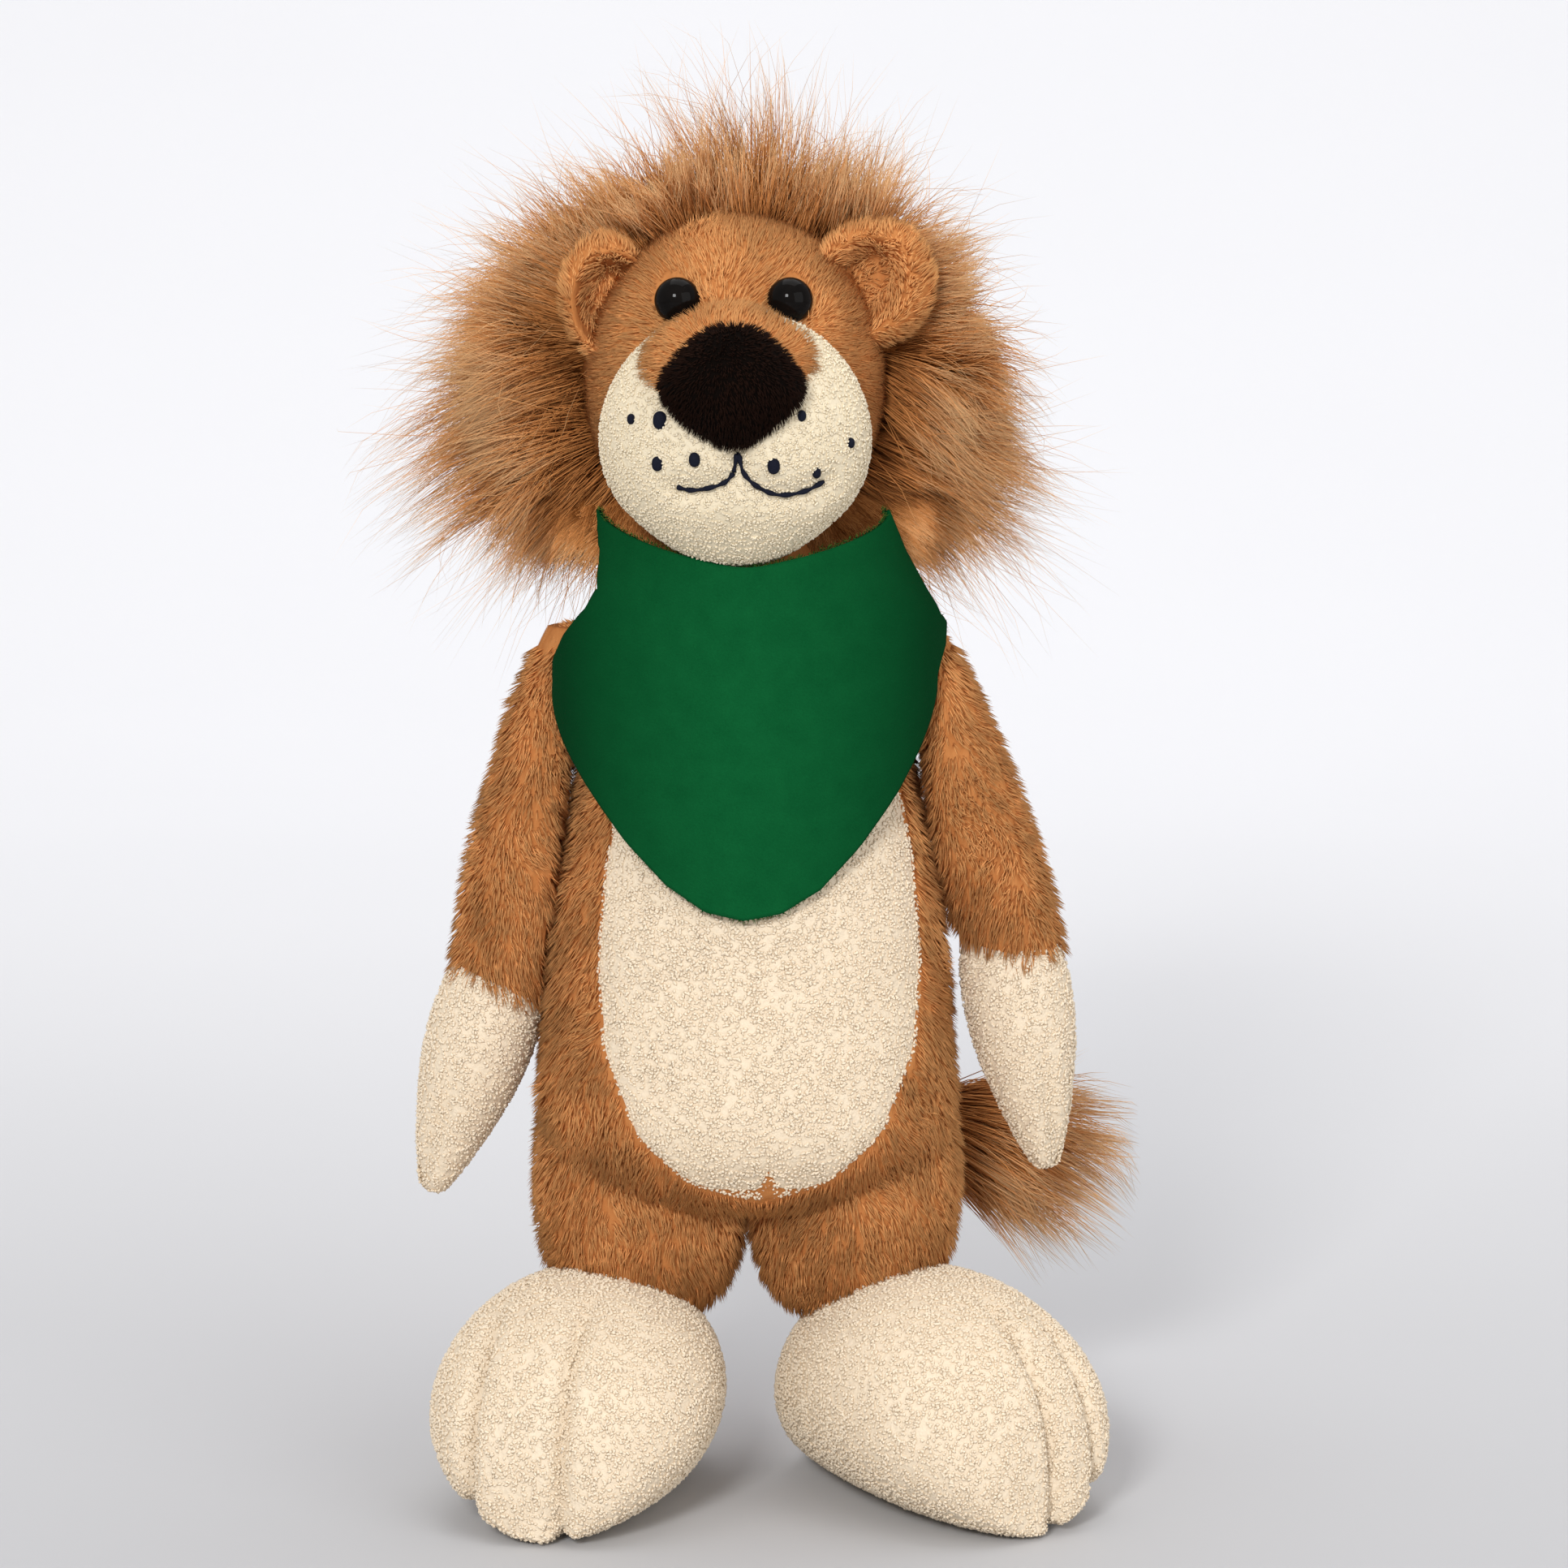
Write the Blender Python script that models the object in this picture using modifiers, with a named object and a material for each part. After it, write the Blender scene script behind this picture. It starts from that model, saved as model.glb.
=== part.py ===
"""Standing plush lion with a felt bandana, built in metres with +Z up.

The lion faces -Y and its own left is +X. The origin is on the ground, in the
middle of the footprint. Each stuffed form is a UV sphere whose rings are moved
onto a swelling, tapering profile, and each is cut by the larger form it meets.
"""

import math

import bmesh
import bpy
from mathutils import Euler, Matrix, Vector

MM = 0.001

# General clearances and cloth
GAP = 0.3 * MM
TURNING_GAP = 0.6 * MM
PLUSH_WALL = 3.0 * MM
OVERRUN = 8.0 * MM

# Torso
TORSO_BASE_Z = 66.0 * MM
TORSO_HEIGHT = 139.0 * MM
TORSO_WIDTH = 94.0 * MM
TORSO_DEPTH = 72.0 * MM
TORSO_WIDTH_SHARES = (1.22, 1.15, 1.03, 0.96, 0.91, 0.85, 0.80, 0.80, 0.52)
TORSO_DEPTH_SHARES = (1.10, 1.12, 1.04, 0.98, 0.93, 0.87, 0.80, 0.76, 0.55)
TORSO_LEAN_SHARES = (-0.02, -0.03, -0.02, 0.0, 0.0, 0.01, 0.02, 0.03, 0.03)
TORSO_BLUNT_SHARE = 0.4

# Belly panel, let into the front of the torso
PANEL_HEIGHT = 94.0 * MM
PANEL_WIDTH = 72.0 * MM
PANEL_LIFT = 4.0 * MM
PANEL_SHIFT = 3.0 * MM
PANEL_INSET = 1.5 * MM
PANEL_CROWN = 0.5 * MM
PANEL_SHARES = ((0.0, 0.0), (0.42, 0.05), (0.76, 0.17), (0.96, 0.36), (1.0, 0.56),
                (0.95, 0.80), (0.84, 1.0))

# Head
HEAD_SHIFT = -2.5 * MM
HEAD_BASE_Z = 214.0 * MM
HEAD_HEIGHT = 74.0 * MM
HEAD_WIDTH = 66.0 * MM
HEAD_DEPTH = 62.0 * MM
HEAD_FORWARD = 4.0 * MM
HEAD_WIDTH_SHARES = (1.0, 1.02, 1.03, 1.02, 1.0)
HEAD_DEPTH_SHARES = (0.96, 1.0, 1.02, 1.01, 0.98)
HEAD_LEAN_SHARES = (0.0, 0.0, 0.0, 0.0, 0.0)
HEAD_BLUNT_SHARE = 0.92

# Muzzle, bridge and nose
MUZZLE_WIDTH = 57.0 * MM
MUZZLE_HEIGHT = 48.0 * MM
MUZZLE_DEPTH = 44.0 * MM
MUZZLE_SINK = 8.0 * MM
MUZZLE_FORWARD = HEAD_FORWARD + HEAD_DEPTH / 2.0 - MUZZLE_SINK
MUZZLE_DROP = 16.0 * MM
MUZZLE_WIDTH_SHARES = (0.86, 1.02, 1.04, 0.94, 0.80)
MUZZLE_DEPTH_SHARES = (0.90, 1.02, 1.04, 0.98, 0.90)
MUZZLE_LEAN_SHARES = (0.02, 0.0, -0.02, -0.01, 0.02)
MUZZLE_BLUNT_SHARE = 0.9
BRIDGE_WIDTH = 27.0 * MM
BRIDGE_HEIGHT = 23.0 * MM
BRIDGE_DEPTH = 26.0 * MM
BRIDGE_SINK = 4.0 * MM
BRIDGE_FORWARD = HEAD_FORWARD + HEAD_DEPTH / 2.0 - BRIDGE_SINK
BRIDGE_RISE = 4.0 * MM
BRIDGE_WIDTH_SHARES = (1.0, 1.0, 0.92, 0.74, 0.5)
BRIDGE_DEPTH_SHARES = (1.0, 1.0, 1.0, 0.9, 0.8)
NOSE_WIDTH = 31.0 * MM
NOSE_HEIGHT = 26.0 * MM
NOSE_DEPTH = 20.0 * MM
NOSE_SINK = 2.0 * MM
NOSE_FORWARD = MUZZLE_FORWARD + MUZZLE_DEPTH / 2.0 - NOSE_SINK
NOSE_RISE = 1.5 * MM
NOSE_WIDTH_SHARES = (0.42, 0.58, 0.92, 1.08, 0.94)
NOSE_DEPTH_SHARES = (0.90, 1.0, 1.06, 1.0, 0.90)
NOSE_BLUNT_SHARE = 0.8

# Eyes
EYE_SPACING = 24.0 * MM
EYE_RISE = 19.0 * MM
EYE_RADIUS = 4.9 * MM
EYE_DOME = 3.6 * MM
SHANK_RADIUS = 1.5 * MM
SHANK_LENGTH = 9.0 * MM
WASHER_RADIUS = 5.5 * MM
WASHER_THICKNESS = 1.4 * MM

# Ears
EAR_WIDTH = 27.0 * MM
EAR_HEIGHT = 30.0 * MM
EAR_THICKNESS = 10.0 * MM
EAR_REACH = 31.0 * MM
EAR_FORWARD = 10.0 * MM
RIGHT_EAR_RISE = 17.5 * MM
LEFT_EAR_RISE = 21.5 * MM
RIGHT_EAR_LEAN = math.radians(14.0)
LEFT_EAR_LEAN = math.radians(-32.0)
EAR_BOWL_SHARE = 0.78
EAR_LINING = 1.6 * MM

# Mane
MANE_WIDTH = 150.0 * MM
MANE_HEIGHT = 132.0 * MM
MANE_DEPTH = 90.0 * MM
MANE_BACK = 18.0 * MM
MANE_DROP = 2.0 * MM
MANE_FACE = 3.0 * MM
MANE_HEM_Z = 213.0 * MM
MANE_WIDTH_SHARES = (0.90, 1.0, 1.03, 1.0, 0.92)
MANE_DEPTH_SHARES = (0.80, 0.94, 1.0, 1.0, 0.92)
MANE_BLUNT_SHARE = 0.9

# Mouth and whisker embroidery
THREAD_RADIUS = 0.7 * MM
DOT_RADIUS = 1.3 * MM
DOT_PROUD = 0.5 * MM
THREAD_PROUD = 0.45 * MM
MOUTH_SHARES = ((-0.40, -0.27), (-0.29, -0.285), (-0.17, -0.255), (-0.07, -0.19),
                (0.0, -0.07), (0.07, -0.19), (0.17, -0.265), (0.28, -0.27),
                (0.40, -0.20))
DOT_SHARES = ((-0.76, 0.30), (-0.55, 0.31), (-0.57, -0.09), (-0.30, -0.06),
              (0.52, 0.34), (0.32, -0.10), (0.60, -0.16), (0.84, 0.08))

# Neck
NECK_RADIUS = 17.0 * MM
NECK_Z = 206.0 * MM
NECK_BACK = 2.0 * MM

# Bandana
FELT_THICKNESS = 1.4 * MM
BANDANA_TOP_Z = 207.0 * MM
BANDANA_TIP_Z = 137.0 * MM
BANDANA_WING_Z = 184.0 * MM
BANDANA_BAND_Z = 202.5 * MM
BANDANA_STAND = 3.0 * MM
BANDANA_FOLD = 2.6 * MM
BANDANA_DRAPE = 1.3 * MM
BANDANA_SWELL = 6.5 * MM
BANDANA_SWELL_SHARE = 0.7
BANDANA_WING_ANGLE = math.radians(62.0)
BANDANA_FADE_ANGLE = math.radians(14.0)
BANDANA_FOLDS = 5
BANDANA_AROUND = 44
BANDANA_DOWN = 9

# Arms
SHOULDER_X = 38.0 * MM
SHOULDER_Z = 190.0 * MM
GATHER_RADIUS = 9.0 * MM
GATHER_NECK_RADIUS = 6.5 * MM
GATHER_DEPTH = 16.0 * MM
ARM_CUP = 1.6 * MM
ARM_SIDE_X = 39.0 * MM
ARM_SIDE_TILT = math.radians(6.0)
ARM_CAP = 4.0 * MM
ARM_TOP = 10.0 * MM
RIGHT_ARM_LENGTH = 80.0 * MM
LEFT_ARM_LENGTH = 74.0 * MM
RIGHT_ARM_TILT = math.radians(13.0)
LEFT_ARM_TILT = math.radians(19.0)
RIGHT_ARM_WIDTH = 25.0 * MM
LEFT_ARM_WIDTH = 22.0 * MM
ARM_DEPTH = 25.0 * MM
ARM_WALL = 2.5 * MM
ARM_WIDTH_SHARES = (1.04, 1.02, 1.0, 0.94, 0.86)
ARM_DEPTH_SHARES = (1.04, 1.02, 0.98, 0.92, 0.84)
ARM_BLUNT_SHARE = 0.45

# Hands
HAND_LENGTH = 62.0 * MM
HAND_INSET = 14.0 * MM
HAND_WIDTH = 25.0 * MM
HAND_DEPTH = 25.0 * MM
RIGHT_HAND_TILT = math.radians(18.0)
LEFT_HAND_TILT = math.radians(10.0)
HAND_WIDTH_SHARES = (0.62, 0.86, 0.98, 1.02, 1.0)
HAND_DEPTH_SHARES = (0.70, 0.90, 1.0, 1.0, 0.98)
HAND_BLUNT_SHARE = 0.55

# Legs
HIP_X = 24.0 * MM
HIP_Z = 66.0 * MM
HIP_RADIUS = 20.0 * MM
LEG_BOTTOM_Z = 36.0 * MM
LEG_BOTTOM_RADIUS = 21.0 * MM
LEG_LAP = 5.0 * MM
LEG_TOP_SHARE = 0.9

# Feet
FOOT_LENGTH = 86.0 * MM
FOOT_WIDTH = 61.0 * MM
FOOT_HEIGHT = 52.0 * MM
FOOT_FORWARD = 17.0 * MM
RIGHT_FOOT_OUT = 12.0 * MM
LEFT_FOOT_OUT = 17.5 * MM
RIGHT_FOOT_YAW = math.radians(-20.0)
LEFT_FOOT_YAW = math.radians(33.0)
FOOT_WIDTH_SHARES = (0.80, 0.90, 1.0, 1.05, 1.0)
FOOT_HEIGHT_SHARES = (0.96, 1.0, 1.0, 0.95, 0.92)
FOOT_LEVEL_SHARE = 0.9
FOOT_BLUNT_SHARE = 0.6
SOLE_CUT = 0.5 * MM
ANKLE_RADIUS = 14.0 * MM

# Tail
TAIL_X = 8.0 * MM
TAIL_Z = 84.0 * MM
TAIL_SEAT = 6.0 * MM
TAIL_RADIUS = 5.0 * MM
TAIL_LENGTH = 36.5 * MM
TAIL_BACK = 10.0 * MM
TAIL_DROP = 12.0 * MM
TAIL_TRIMS = 4
TAIL_TRIM_TURN = math.radians(63.0)
TUFT_LENGTH = 42.0 * MM
TUFT_WIDTH = 36.0 * MM
TUFT_INSET = 6.0 * MM
TUFT_PITCH = math.radians(112.0)
TUFT_YAW = math.radians(-2.0)
TUFT_WIDTH_SHARES = (0.70, 0.92, 1.05, 1.0, 0.72)
TUFT_BLUNT_SHARE = 0.9

# Facets around and along each kind of form
BODY_FACETS = (22, 12)
SEAT_FACETS = (18, 10)
LIMB_FACETS = (16, 8)
SMALL_FACETS = (14, 8)
FOOT_FACETS = (20, 10)
MANE_FACETS = (26, 13)


def clear_scene():
    for obj in list(bpy.data.objects):
        bpy.data.objects.remove(obj, do_unlink=True)


def new_collection(name):
    collection = bpy.data.collections.new(name)
    bpy.context.scene.collection.children.link(collection)
    return collection


def material(name, colour, roughness, metallic=0.0):
    made = bpy.data.materials.new(name)
    made.use_nodes = True
    shader = made.node_tree.nodes["Principled BSDF"]
    shader.inputs["Base Color"].default_value = (*colour, 1.0)
    shader.inputs["Roughness"].default_value = roughness
    shader.inputs["Metallic"].default_value = metallic
    made.diffuse_color = (*colour, 1.0)
    return made


def smooth(mesh):
    mesh.shade_smooth()
    mesh.set_sharp_from_angle(angle=math.radians(50.0))


def share_at(shares, along):
    """Read a table of evenly spaced shares at a place from 0 to 1, smoothly."""
    count = len(shares) - 1
    place = min(max(along, 0.0), 1.0) * count
    index = min(int(place), count - 1)
    part = place - index
    before = shares[max(index - 1, 0)]
    start = shares[index]
    end = shares[index + 1]
    after = shares[min(index + 2, count)]
    return 0.5 * (2.0 * start + (end - before) * part
                  + (2.0 * before - 5.0 * start + 4.0 * end - after) * part ** 2
                  + (3.0 * start - before - 3.0 * end + after) * part ** 3)


class Form:
    """A stuffed form along its own +Z, from its base to its length."""

    def __init__(self, length, width, depth, width_shares, depth_shares,
                 lean_shares=(0.0, 0.0), blunt_share=1.0, facets=LIMB_FACETS,
                 level_share=0.0):
        self.length = length
        self.width = width
        self.depth = depth
        self.width_shares = width_shares
        self.depth_shares = depth_shares
        self.lean_shares = lean_shares
        self.blunt_share = blunt_share
        self.facets = facets
        self.level_share = level_share

    def ring(self, along, grow=0.0):
        """Half width, half depth and centre of the ring at a share of the length.

        A level share of 1 would lower each ring until its underside is level.
        """
        bulge = (2.0 * math.sqrt(max(along * (1.0 - along), 0.0))) ** self.blunt_share
        half_width = bulge * (self.width / 2.0 * share_at(self.width_shares, along) + grow)
        own_depth = bulge * self.depth / 2.0 * share_at(self.depth_shares, along)
        lean = self.depth * share_at(self.lean_shares, along)
        lean -= (self.depth / 2.0 - own_depth + grow * (1.0 - bulge)) * self.level_share
        return half_width, own_depth + bulge * grow, lean

    def mesh(self, name, grow=0.0):
        around, rings = self.facets
        shell = bmesh.new()
        bmesh.ops.create_uvsphere(shell, u_segments=around, v_segments=rings, radius=1.0)
        for vert in shell.verts:
            along = (vert.co.z + 1.0) / 2.0
            half_width, half_depth, lean = self.ring(along, grow)
            flat = math.hypot(vert.co.x, vert.co.y)
            across = Vector((0.0, 0.0))
            if flat > 1e-6:
                across = Vector((vert.co.x, vert.co.y)) / flat
            vert.co.x = across.x * half_width
            vert.co.y = across.y * half_depth + lean
            vert.co.z = along * (self.length + 2.0 * grow) - grow
        mesh = bpy.data.meshes.new(name)
        shell.to_mesh(mesh)
        shell.free()
        smooth(mesh)
        return mesh


class Build:
    """The collections of the model, with the calls that fill them."""

    def __init__(self):
        self.parts = new_collection("plush_lion")
        self.cutters = new_collection("cutters")
        self.count = 0

    def add(self, name, mesh, paint, matrix=Matrix.Identity(4)):
        obj = bpy.data.objects.new(name, mesh)
        self.parts.objects.link(obj)
        obj.matrix_world = matrix
        mesh.materials.clear()
        mesh.materials.append(paint)
        return obj

    def tool(self, mesh, matrix=Matrix.Identity(4)):
        self.count += 1
        obj = bpy.data.objects.new("cutter_%02d" % self.count, mesh)
        self.cutters.objects.link(obj)
        obj.matrix_world = matrix
        obj.hide_render = True
        obj.display_type = "WIRE"
        return obj

    def boolean(self, obj, tool, operation):
        modifier = obj.modifiers.new(operation.lower(), "BOOLEAN")
        modifier.operation = operation
        modifier.solver = "EXACT"
        modifier.object = tool

    def cut(self, obj, tool):
        self.boolean(obj, tool, "DIFFERENCE")

    def keep(self, obj, tool):
        self.boolean(obj, tool, "INTERSECT")

    def join(self, obj, tool):
        self.boolean(obj, tool, "UNION")

    def pivot(self, name, place, parent=None):
        empty = bpy.data.objects.new(name, None)
        empty.empty_display_size = GATHER_RADIUS
        self.parts.objects.link(empty)
        empty.location = place
        if parent:
            bpy.context.view_layer.update()
            empty.parent = parent
            empty.matrix_parent_inverse = parent.matrix_world.inverted()
        return empty


def carry(parent, children):
    """Parent pieces to a pivot where they stand."""
    bpy.context.view_layer.update()
    for child in children:
        child.parent = parent
        child.matrix_parent_inverse = parent.matrix_world.inverted()


def ball_mesh(name, radius, facets):
    shell = bmesh.new()
    bmesh.ops.create_uvsphere(shell, u_segments=facets[0], v_segments=facets[1],
                              radius=radius)
    mesh = bpy.data.meshes.new(name)
    shell.to_mesh(mesh)
    shell.free()
    smooth(mesh)
    return mesh


def rod_mesh(name, radius, length, sides, top_radius=None):
    """A rod or cone from its base at the origin up its own +Z."""
    top = radius if top_radius is None else top_radius
    shell = bmesh.new()
    bmesh.ops.create_cone(shell, cap_ends=True, cap_tris=False, segments=sides,
                          radius1=radius, radius2=top, depth=length,
                          matrix=Matrix.Translation((0.0, 0.0, length / 2.0)))
    mesh = bpy.data.meshes.new(name)
    shell.to_mesh(mesh)
    shell.free()
    smooth(mesh)
    return mesh


def box_mesh(name, low, high):
    """A box between two corners."""
    size = Vector(high) - Vector(low)
    middle = (Vector(high) + Vector(low)) / 2.0
    shell = bmesh.new()
    bmesh.ops.create_cube(shell, size=1.0,
                          matrix=Matrix.Translation(middle) @ Matrix.Diagonal((*size, 1.0)))
    mesh = bpy.data.meshes.new(name)
    shell.to_mesh(mesh)
    shell.free()
    return mesh


def outline_mesh(name, points, half_depth):
    """A closed smooth outline in X and Z, extruded along Y both ways."""
    curve = bpy.data.curves.new(name, "CURVE")
    curve.dimensions = "2D"
    curve.fill_mode = "BOTH"
    curve.extrude = half_depth
    curve.resolution_u = 2
    spline = curve.splines.new("BEZIER")
    spline.bezier_points.add(len(points) - 1)
    for point, place in zip(spline.bezier_points, points):
        point.co = (place[0], place[1], 0.0)
        point.handle_left_type = "AUTO"
        point.handle_right_type = "AUTO"
    spline.use_cyclic_u = True
    return curve_to_mesh(name, curve)


def curve_to_mesh(name, curve):
    """Take a curve's solid as a mesh with its caps welded on."""
    holder = bpy.data.objects.new(name, curve)
    bpy.context.scene.collection.objects.link(holder)
    bpy.context.view_layer.update()
    evaluated = holder.evaluated_get(bpy.context.evaluated_depsgraph_get())
    mesh = bpy.data.meshes.new_from_object(evaluated)
    shell = bmesh.new()
    shell.from_mesh(mesh)
    bmesh.ops.remove_doubles(shell, verts=shell.verts, dist=0.01 * MM)
    bmesh.ops.recalc_face_normals(shell, faces=shell.faces)
    shell.to_mesh(mesh)
    shell.free()
    bpy.data.objects.remove(holder, do_unlink=True)
    mesh.name = name
    return mesh


def thread_mesh(name, points, radius, cyclic=False):
    """An embroidered line: a round thread along smooth points."""
    curve = bpy.data.curves.new(name, "CURVE")
    curve.dimensions = "3D"
    curve.bevel_depth = radius
    curve.bevel_resolution = 1
    curve.use_fill_caps = True
    spline = curve.splines.new("POLY")
    spline.points.add(len(points) - 1)
    for point, place in zip(spline.points, points):
        point.co = (*place, 1.0)
    spline.use_cyclic_u = cyclic
    mesh = curve_to_mesh(name, curve)
    smooth(mesh)
    return mesh


def place(location, rotation=(0.0, 0.0, 0.0)):
    return Matrix.Translation(location) @ Euler(rotation, "XYZ").to_matrix().to_4x4()


def front_point(form, base, shift, rise, grow=0.0):
    """The point and outward direction on a form's front, at an offset from its axis."""

    def reach(across, up):
        half_width, half_depth, lean = form.ring(up / form.length, grow)
        ratio = min(abs(across / half_width), 0.999)
        return lean - half_depth * math.sqrt(1.0 - ratio ** 2)

    step = 0.5 * MM
    here = reach(shift, rise)
    slope_x = (reach(shift + step, rise) - reach(shift - step, rise)) / (2.0 * step)
    slope_z = (reach(shift, rise + step) - reach(shift, rise - step)) / (2.0 * step)
    normal = Vector((slope_x, -1.0, slope_z)).normalized()
    return Vector(base) + Vector((shift, here, rise)), normal


def aim(point, direction):
    """A matrix at a point whose +Z looks along a direction."""
    turn = direction.to_track_quat("Z", "Y").to_matrix().to_4x4()
    return Matrix.Translation(point) @ turn


# Forms that are used by more than one piece
TORSO = Form(TORSO_HEIGHT, TORSO_WIDTH, TORSO_DEPTH, TORSO_WIDTH_SHARES,
             TORSO_DEPTH_SHARES, TORSO_LEAN_SHARES, TORSO_BLUNT_SHARE, BODY_FACETS)
HEAD = Form(HEAD_HEIGHT, HEAD_WIDTH, HEAD_DEPTH, HEAD_WIDTH_SHARES,
            HEAD_DEPTH_SHARES, HEAD_LEAN_SHARES, HEAD_BLUNT_SHARE, BODY_FACETS)
MUZZLE = Form(MUZZLE_HEIGHT, MUZZLE_WIDTH, MUZZLE_DEPTH, MUZZLE_WIDTH_SHARES,
              MUZZLE_DEPTH_SHARES, MUZZLE_LEAN_SHARES, MUZZLE_BLUNT_SHARE, FOOT_FACETS)
BRIDGE = Form(BRIDGE_HEIGHT, BRIDGE_WIDTH, BRIDGE_DEPTH, BRIDGE_WIDTH_SHARES,
              BRIDGE_DEPTH_SHARES, facets=SMALL_FACETS)
NOSE = Form(NOSE_HEIGHT, NOSE_WIDTH, NOSE_DEPTH, NOSE_WIDTH_SHARES,
            NOSE_DEPTH_SHARES, blunt_share=NOSE_BLUNT_SHARE, facets=LIMB_FACETS)
MANE = Form(MANE_HEIGHT, MANE_WIDTH, MANE_DEPTH, MANE_WIDTH_SHARES,
            MANE_DEPTH_SHARES, blunt_share=MANE_BLUNT_SHARE, facets=MANE_FACETS)
HAND = Form(HAND_LENGTH, HAND_WIDTH, HAND_DEPTH, HAND_WIDTH_SHARES,
            HAND_DEPTH_SHARES, blunt_share=HAND_BLUNT_SHARE)
FOOT = Form(FOOT_LENGTH, FOOT_WIDTH, FOOT_HEIGHT, FOOT_WIDTH_SHARES,
            FOOT_HEIGHT_SHARES, blunt_share=FOOT_BLUNT_SHARE, facets=FOOT_FACETS,
            level_share=FOOT_LEVEL_SHARE)
TUFT = Form(TUFT_LENGTH, TUFT_WIDTH, TUFT_WIDTH, TUFT_WIDTH_SHARES,
            TUFT_WIDTH_SHARES, blunt_share=TUFT_BLUNT_SHARE, facets=SMALL_FACETS)

# Places that follow from the sizes above
TORSO_BASE = Vector((0.0, 0.0, TORSO_BASE_Z))
HEAD_BASE = Vector((HEAD_SHIFT, -HEAD_FORWARD, HEAD_BASE_Z))
HEAD_MIDDLE_Z = HEAD_BASE_Z + HEAD_HEIGHT / 2.0
NECK_CENTRE = Vector((0.0, NECK_BACK, NECK_Z))
MUZZLE_BASE = Vector((HEAD_SHIFT, -MUZZLE_FORWARD,
                      HEAD_MIDDLE_Z - MUZZLE_DROP - MUZZLE_HEIGHT / 2.0))
BRIDGE_BASE = Vector((HEAD_SHIFT, -BRIDGE_FORWARD,
                      HEAD_MIDDLE_Z + BRIDGE_RISE - BRIDGE_HEIGHT / 2.0))
NOSE_BASE = Vector((HEAD_SHIFT, -NOSE_FORWARD,
                    HEAD_MIDDLE_Z + NOSE_RISE - NOSE_HEIGHT / 2.0))
MANE_BASE = Vector((HEAD_SHIFT, MANE_BACK,
                    HEAD_MIDDLE_Z - MANE_DROP - MANE_HEIGHT / 2.0))


def make_materials():
    return {
        "brown": material("brown_plush", (0.42, 0.20, 0.07), 0.95),
        "cream": material("cream_boucle", (0.78, 0.67, 0.52), 0.95),
        "fleece": material("muzzle_fleece", (0.78, 0.72, 0.60), 0.95),
        "nose": material("nose_plush", (0.03, 0.014, 0.008), 0.8),
        "mane": material("mane_fur", (0.36, 0.17, 0.06), 0.9),
        "felt": material("bandana_felt", (0.0, 0.09, 0.035), 0.95),
        "eye": material("eye_plastic", (0.005, 0.005, 0.005), 0.08),
        "washer": material("washer_plastic", (0.75, 0.75, 0.72), 0.45),
        "thread": material("embroidery_thread", (0.012, 0.012, 0.03), 0.7),
        "filling": material("fibre_filling", (0.85, 0.85, 0.83), 0.98),
        "lining": material("ear_lining", (0.30, 0.14, 0.05), 0.95),
    }


def make_torso(build, paint):
    """The pear-shaped skin, its filling and the cream belly panel."""
    stand = place(TORSO_BASE)
    skin = build.add("torso_skin", TORSO.mesh("torso_skin"), paint["brown"], stand)
    filling = build.add("torso_filling", TORSO.mesh("torso_filling", -PLUSH_WALL - GAP),
                        paint["filling"], stand)
    build.cut(skin, build.tool(TORSO.mesh("torso_hollow", -PLUSH_WALL), stand))

    half = PANEL_WIDTH / 2.0
    foot_z = TORSO_BASE_Z + PANEL_LIFT
    right = [(PANEL_SHIFT - half * wide, foot_z + PANEL_HEIGHT * high)
             for wide, high in PANEL_SHARES]
    left = [(2.0 * PANEL_SHIFT - x, z) for x, z in reversed(right[1:])]
    grown_half = half + GAP
    grown_right = [(PANEL_SHIFT - grown_half * wide,
                    foot_z - GAP + (PANEL_HEIGHT + 2.0 * GAP) * high)
                   for wide, high in PANEL_SHARES]
    grown_left = [(2.0 * PANEL_SHIFT - x, z) for x, z in reversed(grown_right[1:])]
    forward = place((0.0, -TORSO_DEPTH / 2.0, 0.0), (math.pi / 2.0, 0.0, 0.0))
    panel = build.add("belly_panel", TORSO.mesh("belly_panel", PANEL_CROWN),
                      paint["cream"], stand)
    build.keep(panel, build.tool(outline_mesh("panel_outline", right + left,
                                              TORSO_DEPTH / 2.0), forward))
    build.cut(panel, build.tool(TORSO.mesh("panel_back", -PANEL_INSET), stand))

    pocket = build.tool(TORSO.mesh("panel_pocket", PANEL_CROWN + OVERRUN), stand)
    build.keep(pocket, build.tool(outline_mesh("pocket_outline", grown_right + grown_left,
                                               TORSO_DEPTH / 2.0), forward))
    build.cut(pocket, build.tool(TORSO.mesh("pocket_back", -PANEL_INSET - GAP), stand))
    build.cut(skin, pocket)

    neck_seat = build.tool(ball_mesh("neck_seat", NECK_RADIUS + GAP, SEAT_FACETS),
                           place(NECK_CENTRE))
    for piece in (skin, filling):
        build.cut(piece, neck_seat)
        for side in (-1.0, 1.0):
            shoulder = place((side * SHOULDER_X, 0.0, SHOULDER_Z))
            hollow = GATHER_RADIUS + ARM_CUP + GAP
            build.cut(piece, build.tool(ball_mesh("shoulder_hollow", hollow, LIMB_FACETS),
                                        shoulder))
            inward = place((side * SHOULDER_X, 0.0, SHOULDER_Z),
                           (0.0, -side * math.pi / 2.0, 0.0))
            build.cut(piece, build.tool(
                rod_mesh("gather_seat", GATHER_NECK_RADIUS + GAP, GATHER_DEPTH + GAP, 12),
                inward))
            hip = place((side * HIP_X, 0.0, HIP_Z))
            build.cut(piece, build.tool(ball_mesh("hip_seat", HIP_RADIUS + TURNING_GAP,
                                                  SEAT_FACETS), hip))
    return skin, filling, panel


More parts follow.
